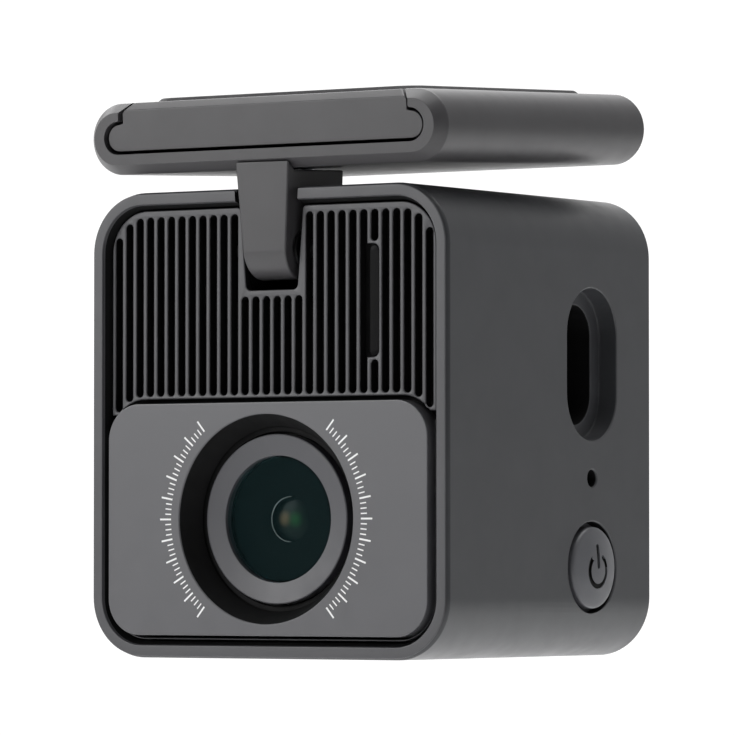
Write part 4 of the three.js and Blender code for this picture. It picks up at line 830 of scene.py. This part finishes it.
def scale_marks():
    """Two printed arcs of plain graduation marks beside the lens."""
    mesh = bmesh.new()
    front = PANEL_FRONT - 0.012
    thickness = 0.03
    span, step, marks_per_long_one = 50, 2.5, 4
    count = int(2 * span / step)
    inner, long_outer, short_outer = 13.65, 15.25, 14.5
    long_half, short_half = 0.45, 0.32

    def strip(points_in, points_out):
        for i in range(len(points_in) - 1):
            quad = (points_in[i], points_in[i + 1], points_out[i + 1], points_out[i])
            top = [mesh.verts.new((u, front, v)) for u, v in quad]
            low = [mesh.verts.new((u, front + thickness, v)) for u, v in quad]
            mesh.faces.new(top)
            mesh.faces.new(low[::-1])
            for a in range(4):
                b = (a + 1) % 4
                mesh.faces.new((top[a], low[a], low[b], top[b]))

    for side in (0, 180):
        for k in range(count + 1):
            angle = side - span + k * step
            is_long = k % marks_per_long_one == 0
            outer, half = (long_outer, long_half) if is_long else (short_outer, short_half)
            spread = half * inner / outer
            strip(
                arc(0, LENS_Z, inner, angle - half, angle + half, 1),
                arc(0, LENS_Z, outer, angle - spread, angle + spread, 1),
            )
    marks = to_object("lens_scale_marks", mesh)
    camera_piece(marks, INK_AND_PAINTED_HIGHLIGHT)


# ------------------------------------------------------------------ lens
def lens():
    f = RING_FRONT
    ring = [
        (f + 1.5, RING_R), (f + 0.2, RING_R), (f + 0.06, RING_R - 0.05), (f, RING_R - 0.18),
        (f + 0.03, RING_R - 0.32), (f + 0.3, GLASS_R + 0.16), (f + 0.34, GLASS_R + 0.04), (f + 0.44, GLASS_R),
        (f + 1.5, GLASS_R),
    ]
    trim = lathe("lens_trim_ring", "Y", ring, 0, LENS_Z, loop=True, steps=128)
    camera_piece(trim, RING, ["lens_ring"])
    g = f + 0.5
    bulge, flat_r, edge_r = 0.02, 7.3, 7.42
    glass = [(g + 0.9, 0.0), (g + 0.9, flat_r), (g + 0.8, edge_r), (g + 0.12, edge_r), (g + 0.02, flat_r)]
    glass += [(g - bulge * (1 - (r / flat_r) ** 2) + bulge, r) for r in (6.0, 4.5, 3.0, 1.5, 0.0)]
    cover = lathe("lens_cover_glass", "Y", glass, 0, LENS_Z)
    camera_piece(cover, GLASS, ["front_glass"], smooth=15)
    b = f + 1.7
    barrel = [
        (b, GLASS_R), (b, RING_R - 0.1), (b + 3.1, RING_R - 0.1), (b + 3.1, 7.2), (b + 12, 7.2),
        (b + 12, 5.4), (b + 2.6, 5.4), (b + 2.6, 2.72), (b + 1.25, 2.72), (b + 1.2, 2.8), (b + 1.1, 4.7),
        (b + 0.9, 5.6), (b + 0.6, 6.6), (b + 0.3, GLASS_R),
    ]
    steps = lathe("lens_barrel_steps", "Y", barrel, 0, LENS_Z, loop=True)
    camera_piece(steps, LENS_BLACK, ["lens_barrel"])
    # Painted highlight: a thin white ring on the barrel's inner step, kept only on its left half, stands in
    # for a glint.
    rim = [(b + 1.22, 2.67), (b + 1.22, 2.7), (b + 1.36, 2.7), (b + 1.36, 2.67)]
    painted_glint = lathe("lens_painted_highlight", "Y", rim, 0, LENS_Z, loop=True)
    combine(painted_glint, [block("right_half", (0.1, b, LENS_Z - 5), (5, b + 3, LENS_Z + 5))])
    camera_piece(painted_glint, INK_AND_PAINTED_HIGHLIGHT)
    dome_r, dome_rise = 2.6, 0.45
    dome = [(b + 2.5, 0.0), (b + 2.5, dome_r), (b + 1.95, dome_r)]
    dome += [(b + 1.5 + dome_rise * (r / dome_r) ** 2, r) for r in (2.3, 1.9, 1.5, 1.1, 0.7, 0.35, 0.0)]
    element = lathe("inner_lens_dome", "Y", dome, 0, LENS_Z)
    camera_piece(element, ELEMENT_REFLECTIONS, ["inner_lens"], smooth=60)


# ------------------------------------------------------------------ right side
def power_symbol_cutters():
    """A ring broken at the top, and a bar standing in the break, with round ends."""
    radius, stroke, gap, depth = 1.9, 0.6, 35, 0.34
    bar_w, bar_h, bar_rise = 0.62, 3.0, 1.7
    centre_z = BUTTON_Z - 0.35
    start, end = 90 + gap, 450 - gap

    def tip(angle, first, last):
        turn = math.radians(angle)
        y, z = CONTROL_Y + radius * math.cos(turn), centre_z + radius * math.sin(turn)
        return arc(y, z, stroke / 2, first, last, 8)[1:-1]

    outline = arc(CONTROL_Y, centre_z, radius + stroke / 2, start, end, 40)
    outline += tip(90 - gap, 90 - gap, 270 - gap)
    outline += arc(CONTROL_Y, centre_z, radius - stroke / 2, end, start, 40)
    outline += tip(90 + gap, 270 + gap, 90 + gap)
    floor = HALF_W + BUTTON_EDGE + BUTTON_DOME - depth
    upright = stadium(bar_w, bar_h, CONTROL_Y, centre_z + bar_rise, 8)
    ring = prism("symbol_ring", "X", outline, floor, floor + 2)
    bar = prism("symbol_bar", "X", upright, floor, floor + 2)
    return [ring, bar]


def power_button():
    edge = HALF_W + BUTTON_EDGE
    stem_end, stem_r = BUTTON_STEM
    inner, outer = BUTTON_FLANGE
    profile = [(stem_end, 0.0), (stem_end, stem_r), (inner, stem_r), (inner, BUTTON_FLANGE_R)]
    profile += [(outer, BUTTON_FLANGE_R), (outer, BUTTON_R)]
    profile += [(edge - 0.45, BUTTON_R), (edge - 0.25, BUTTON_R - 0.04), (edge - 0.1, BUTTON_R - 0.14)]
    profile += [(edge, BUTTON_R - BUTTON_ROUND)]
    dome_steps = 14
    for i in range(1, dome_steps + 1):
        share = 1 - i / dome_steps
        radius = (BUTTON_R - BUTTON_ROUND) * share
        profile.append((edge + BUTTON_DOME * (1 - share * share), radius))
    cap = lathe("power_button_cap", "X", profile, CONTROL_Y, BUTTON_Z)
    combine(cap, power_symbol_cutters())
    piece(cap, CAMERA_PLACE, "button", BUTTON_LIGHTENED, ["power_button"], 30)
    c = CAMERA_ORIGIN

    def engraved(p):
        radius = math.hypot(p.y - c.y - CONTROL_Y, p.z - c.z - BUTTON_Z)
        dome = edge + BUTTON_DOME * (1 - (radius / (BUTTON_R - BUTTON_ROUND)) ** 2)
        return radius < 3.4 and edge - 0.1 < p.x < dome - 0.07

    # Painted shade in the engraved power symbol.
    paint_faces(cap, PAINTED_SHADE, engraved)


def plug_socket():
    mouth = HALF_W - POCKET_DEPTH
    back = mouth - 7.1

    def outline(inset):
        width, height = SOCKET_SHELL
        return stadium(width - 2 * inset, height - 2 * inset, CONTROL_Y, POCKET_Z)

    profile = [
        (back, 0.0), (mouth - 0.08, 0.0), (mouth, 0.08), (mouth, 0.27), (mouth - 0.08, 0.35),
        (back + 1, 0.35), (back + 1, 1.2), (back, 1.2),
    ]
    shell = loft("plug_socket_shell", "X", outline, profile, loop=True)
    camera_piece(shell, STEEL, ["plug_socket"])
    tongue = block(
        "plug_socket_tongue",
        (back + 0.5, CONTROL_Y - 0.35, POCKET_Z - 3.3),
        (mouth - 0.9, CONTROL_Y + 0.35, POCKET_Z + 3.3),
    )
    camera_piece(round_edges(tongue, 0.12), BLACK)


def memory_card():
    outer, inner = CARD_LOW.x, CARD_HIGH.x
    top, foot = CARD_Z + CARD_W / 2, CARD_Z - CARD_W / 2
    outline = [
        (outer, foot), (inner - 1, foot), (inner, foot + 1), (inner, top - 1.2), (inner - 6.4, top - 1.2),
        (inner - 7, top), (outer, top),
    ]
    card = plate("memory_card_body", "Y", [outline], CARD_Y - CARD_T / 2, CARD_Y + CARD_T / 2, 0.12)
    piece(card, CAMERA_PLACE, "card", CHIP, ["memory_card"])


# ------------------------------------------------------------------ hinge
def hinge():
    half = NOTCH_TOP_HALF + BAY_WALL - 0.1
    pin = [(-half, 0.0), (-half, 1.0), (-half + 0.2, PIN_R), (half - 0.2, PIN_R), (half, 1.0), (half, 0.0)]
    rod = lathe("hinge_pin_rod", "X", pin, PIN_BACK, PIN_Z, steps=48)
    camera_piece(rod, HINGE_STEEL, ["hinge_pin"])
    inside, outside = 3.3, notch_half(PIN_Z + WASHER_R) - 0.55
    for label, side in (("left", -1), ("right", 1)):
        section = [
            (inside, PIN_R + PIN_PLAY), (inside, WASHER_R - 0.1), (inside + 0.1, WASHER_R),
            (outside - 0.1, WASHER_R), (outside, WASHER_R - 0.1), (outside, PIN_R + PIN_PLAY),
        ]
        profile = [(side * depth, radius) for depth, radius in section]
        washer = lathe(f"washer_{label}", "X", profile, PIN_BACK, PIN_Z, loop=True, steps=48)
        camera_piece(washer, HINGE_STEEL, [f"friction_washer_{label}"])


# ------------------------------------------------------------------ rear
def screw_head(name, x, y, z, nodes):
    profile = [
        (y - 8.2, 0.0), (y - 7.8, 0.9), (y - 1.25, 0.95), (y - 1.25, 1.9), (y - 0.3, 1.9),
        (y - 0.08, 1.7), (y, 1.3), (y, 0.0),
    ]
    head = lathe(name, "Y", profile, x, z, steps=48)
    cross = [
        block("cross", (x - 1.1, y - 0.7, z - 0.22), (x + 1.1, y + 1, z + 0.22)),
        block("cross", (x - 0.22, y - 0.7, z - 1.1), (x + 0.22, y + 1, z + 1.1)),
    ]
    combine(head, cross)
    camera_piece(head, STEEL, nodes, 30)


def rear_cover():
    boss_x, boss_z = HALF_W - BOSS_IN_X, HALF_H - BOSS_IN_Z
    bosses = [(side_x * boss_x, side_z * boss_z) for side_x in (-1, 1) for side_z in (-1, 1)]
    loops = [body_outline(WALL + 0.3)] + [circle(SCREW_HOLE_R, x, z, 48) for x, z in bosses]
    for i in range(SOUND_SLOTS):
        x = (i - SOUND_SLOTS // 2) * SOUND_PITCH
        height = 2 * math.sqrt(SPEAKER_R * SPEAKER_R - x * x) - 5
        loops.append(stadium(1.2, height, x, SPEAKER_Z, 10))
    cover = plate("rear_cover_plate", "Y", loops, COVER_Y, COVER_Y + COVER_T, 0.22, 3)
    camera_piece(cover, SHELL, ["rear_cover"])
    for i, (x, z) in enumerate(bosses):
        screw_head(f"rear_screw_head_{i + 1}", x, COVER_Y + COVER_T - 0.05, z, [f"rear_screw_{i + 1}"])


# ------------------------------------------------------------------ mount
def slide_outline(grow, top):
    lobe, radius = LOBE_HALF - LOBE_R, LOBE_R + grow
    half = [(lobe, LOBE_Z - radius)] + arc(lobe, LOBE_Z, radius, -90, 90, 20)[1:]
    half += [(NECK_HALF + grow, NECK_Z + grow), (NECK_HALF + grow, FLARE_Z), (TOP_HALF + grow, MOUNT_H / 2)]
    if top > MOUNT_H / 2:
        half.append((TOP_HALF + grow, top))
    return half + [(-u, v) for u, v in reversed(half)]


def mount_piece(obj, body, material, nodes=()):
    return piece(obj, MOUNT_PLACE, body, material, nodes, 30)


def bracket_channel():
    def outline(inset):
        return lying_bar(MOUNT_W - 2 * inset, MOUNT_H - 2 * inset)

    profile = [
        (0.0, CHAMFER_IN + 0.04), (0.05, CHAMFER_IN - 0.03), (CHAMFER_BACK - 0.12, 0.08),
        (CHAMFER_BACK + 0.1, 0.0), (MOUNT_L - 0.4, 0.0), (MOUNT_L - 0.1, 0.12), (MOUNT_L, 0.4),
    ]
    bar = loft("mount_channel", "Y", outline, profile)
    slide = prism("slide", "Y", slide_outline(PLATE_GAP, MOUNT_H / 2 + 1), -1, MOUNT_L - END_WALL)
    combine(bar, [slide])
    mount_piece(bar, "bracket", BRACKET, ["bracket_channel"])


def base_plate():
    front, back = PLATE_GAP, MOUNT_L - END_WALL - PLATE_GAP
    body = prism("mount_slide_plate", "Y", slide_outline(0, MOUNT_H / 2), front, back)
    c, top = PLATE_CHAMFER, MOUNT_H / 2
    wedge = [(front - 1, top - c - 1), (front + c + 1, top + 1), (front - 1, top + 1)]
    corner = prism("corner", "X", wedge, -MOUNT_W, MOUNT_W)
    combine(body, [corner])
    round_edges(body, 0.1, 2)
    mount_piece(body, "base", BRACKET, ["base_plate"])


def adhesive_pad():
    foot, top = MOUNT_H / 2 + PAD_GLUE, MOUNT_H / 2 + PAD_GLUE + PAD_T

    def outline(inset):
        width, length = 2 * (PAD_HALF_W - inset), PAD_BACK - PAD_FRONT - 2 * inset
        return rounded_rect(width, length, PAD_R, 0, (PAD_FRONT + PAD_BACK) / 2, 8)

    profile = [(foot, 0.0), (foot + 0.12, 0.0), (top - 0.06, 0.3), (top, 0.42)]
    pad = loft("windscreen_pad", "Z", outline, profile)
    mount_piece(pad, "base", ADHESIVE, ["adhesive_pad"])


def bracket_arm():
    pin, r = -ARM_LENGTH, KNUCKLE_R
    top = -MOUNT_H / 2 - 0.25
    side = [(0.0, top + CHAMFER_IN)] + arc(r, pin, r, 180, 360, 40)
    side += [(ARM_BACK, -ARM_BACK_DROP), (ARM_BACK, top), (CHAMFER_BACK, top)]
    arm = prism("mount_arm", "X", side, -8, 8)
    foot, shoulder = pin - r - 1, -MOUNT_H / 2 + CHAMFER_IN
    slope = (ARM_TOP_HALF - ARM_FOOT_HALF) / (shoulder - pin)
    narrow, wide = ARM_TOP_HALF - slope * (shoulder - foot), ARM_TOP_HALF
    front = [(-narrow, foot), (narrow, foot), (wide, shoulder), (-wide, shoulder)]
    combine(arm, [prism("front", "Y", front, -1, ARM_BACK + 1)], "INTERSECT")
    round_edges(arm, 0.22, 3)
    combine(arm, [lathe("bore", "X", [(-9, PIN_R + PIN_PLAY), (9, PIN_R + PIN_PLAY)], r, pin, steps=48)])
    mount_piece(arm, "bracket", BRACKET, ["bracket_arm"])


housing()
front_frame()
grille()
lens_panel()
scale_marks()
lens()
power_button()
plug_socket()
memory_card()
hinge()
rear_cover()
bracket_channel()
base_plate()
adhesive_pad()
bracket_arm()


# ------------------------------------------------------------------ floor, light and camera, in metres
# The room is brightest behind the part as the main view sees it, toward BACKDROP. Each stop gives the
# share of the way there and the room's brightness at it.
BACKDROP = (-0.545, 0.839, 0.0)
ROOM_ENDS = ((0.02, 0.03), (0.975, 1.0))
ROOM_STOPS = ((0.12, 0.2), (0.28, 0.36), (0.775, 0.36))
ROOM_STRENGTH = 1.1
PHOTO_AZIMUTH, PHOTO_ELEVATION = 33.412, -1.8613
PHOTO_DISTANCE, PHOTO_LENS = 0.7111, 285.4
PHOTO_SHIFT_RIGHT, PHOTO_SHIFT_UP = -0.00069, 0.00721

def pale_floor():
    drop, radius = 0.12, 1.5
    mesh = bmesh.new()
    bmesh.ops.create_circle(mesh, cap_ends=True, segments=96, radius=radius)
    floor = to_object("floor", mesh)
    floor.location = (0, 0, CAD_BOX[0].z - drop)
    paper = surface("floor_paper", (0.97, 0.97, 0.97, 1), spread=0.005, rough=(0.8, 0.9), grain=900.0)
    floor.data.materials.append(paper)


def area_light(name, location, target, size, power):
    light = bpy.data.lights.new(name, "AREA")
    light.shape = "RECTANGLE"
    light.size, light.size_y = size
    light.energy = power
    obj = bpy.data.objects.new(name, light)
    obj.location = location
    obj.rotation_mode = "QUATERNION"
    obj.rotation_quaternion = (Vector(target) - Vector(location)).to_track_quat("-Z", "Y")
    scene.collection.objects.link(obj)


def studio():
    world = bpy.data.worlds.new("studio")
    world.use_nodes = True
    tree = world.node_tree
    direction = tree.nodes.new("ShaderNodeTexCoord")
    toward = tree.nodes.new("ShaderNodeVectorMath")
    toward.operation = "DOT_PRODUCT"
    toward.inputs[1].default_value = BACKDROP
    tree.links.new(direction.outputs["Generated"], toward.inputs[0])
    share = tree.nodes.new("ShaderNodeMapRange")
    share.inputs["From Min"].default_value = -1.0
    tree.links.new(toward.outputs["Value"], share.inputs["Value"])
    room = tree.nodes.new("ShaderNodeValToRGB")
    room.color_ramp.interpolation = "EASE"
    for stop, (position, level) in zip(room.color_ramp.elements, ROOM_ENDS):
        stop.position = position
        stop.color = (level, level, level, 1)
    for position, level in ROOM_STOPS:
        stop = room.color_ramp.elements.new(position)
        stop.color = (level, level, level, 1)
    tree.links.new(share.outputs["Result"], room.inputs["Fac"])
    tree.links.new(room.outputs["Color"], tree.nodes["Background"].inputs["Color"])
    tree.nodes["Background"].inputs["Strength"].default_value = ROOM_STRENGTH
    scene.world = world
    middle = (CAD_BOX[0] + CAD_BOX[1]) / 2
    area_light("key", middle + Vector((-0.5, -0.6, 0.25)), middle, (0.4, 0.4), 3.0)
    area_light("top", middle + Vector((0.1, 0.2, 0.8)), middle, (0.7, 0.7), 5.0)
    lamp, lit_spot = Vector((-0.6, 0.5, 0.9)), Vector((-0.1, 0.3, -0.1))
    area_light("floor_wash", middle + lamp, middle + lit_spot, (1.2, 1.2), 12.0)


def photo_camera():
    azimuth, elevation = math.radians(PHOTO_AZIMUTH), math.radians(PHOTO_ELEVATION)
    back = Vector((
        math.sin(azimuth) * math.cos(elevation),
        -math.cos(azimuth) * math.cos(elevation),
        math.sin(elevation),
    ))
    right = (-back).cross(Vector((0, 0, 1))).normalized()
    up = right.cross(-back)
    target = CAMERA_PLACE @ Vector((0, BODY_D / 2, 0))
    data = bpy.data.cameras.new("photo_camera")
    data.lens = PHOTO_LENS
    data.sensor_width = 36
    camera = bpy.data.objects.new("photo_camera", data)
    turn = Matrix((right, up, back)).transposed().to_4x4()
    stand = target + back * PHOTO_DISTANCE + right * PHOTO_SHIFT_RIGHT + up * PHOTO_SHIFT_UP
    camera.matrix_world = Matrix.Translation(stand) @ turn
    scene.collection.objects.link(camera)
    scene.camera = camera


pale_floor()
studio()
photo_camera()
scene.view_settings.view_transform = "Standard"
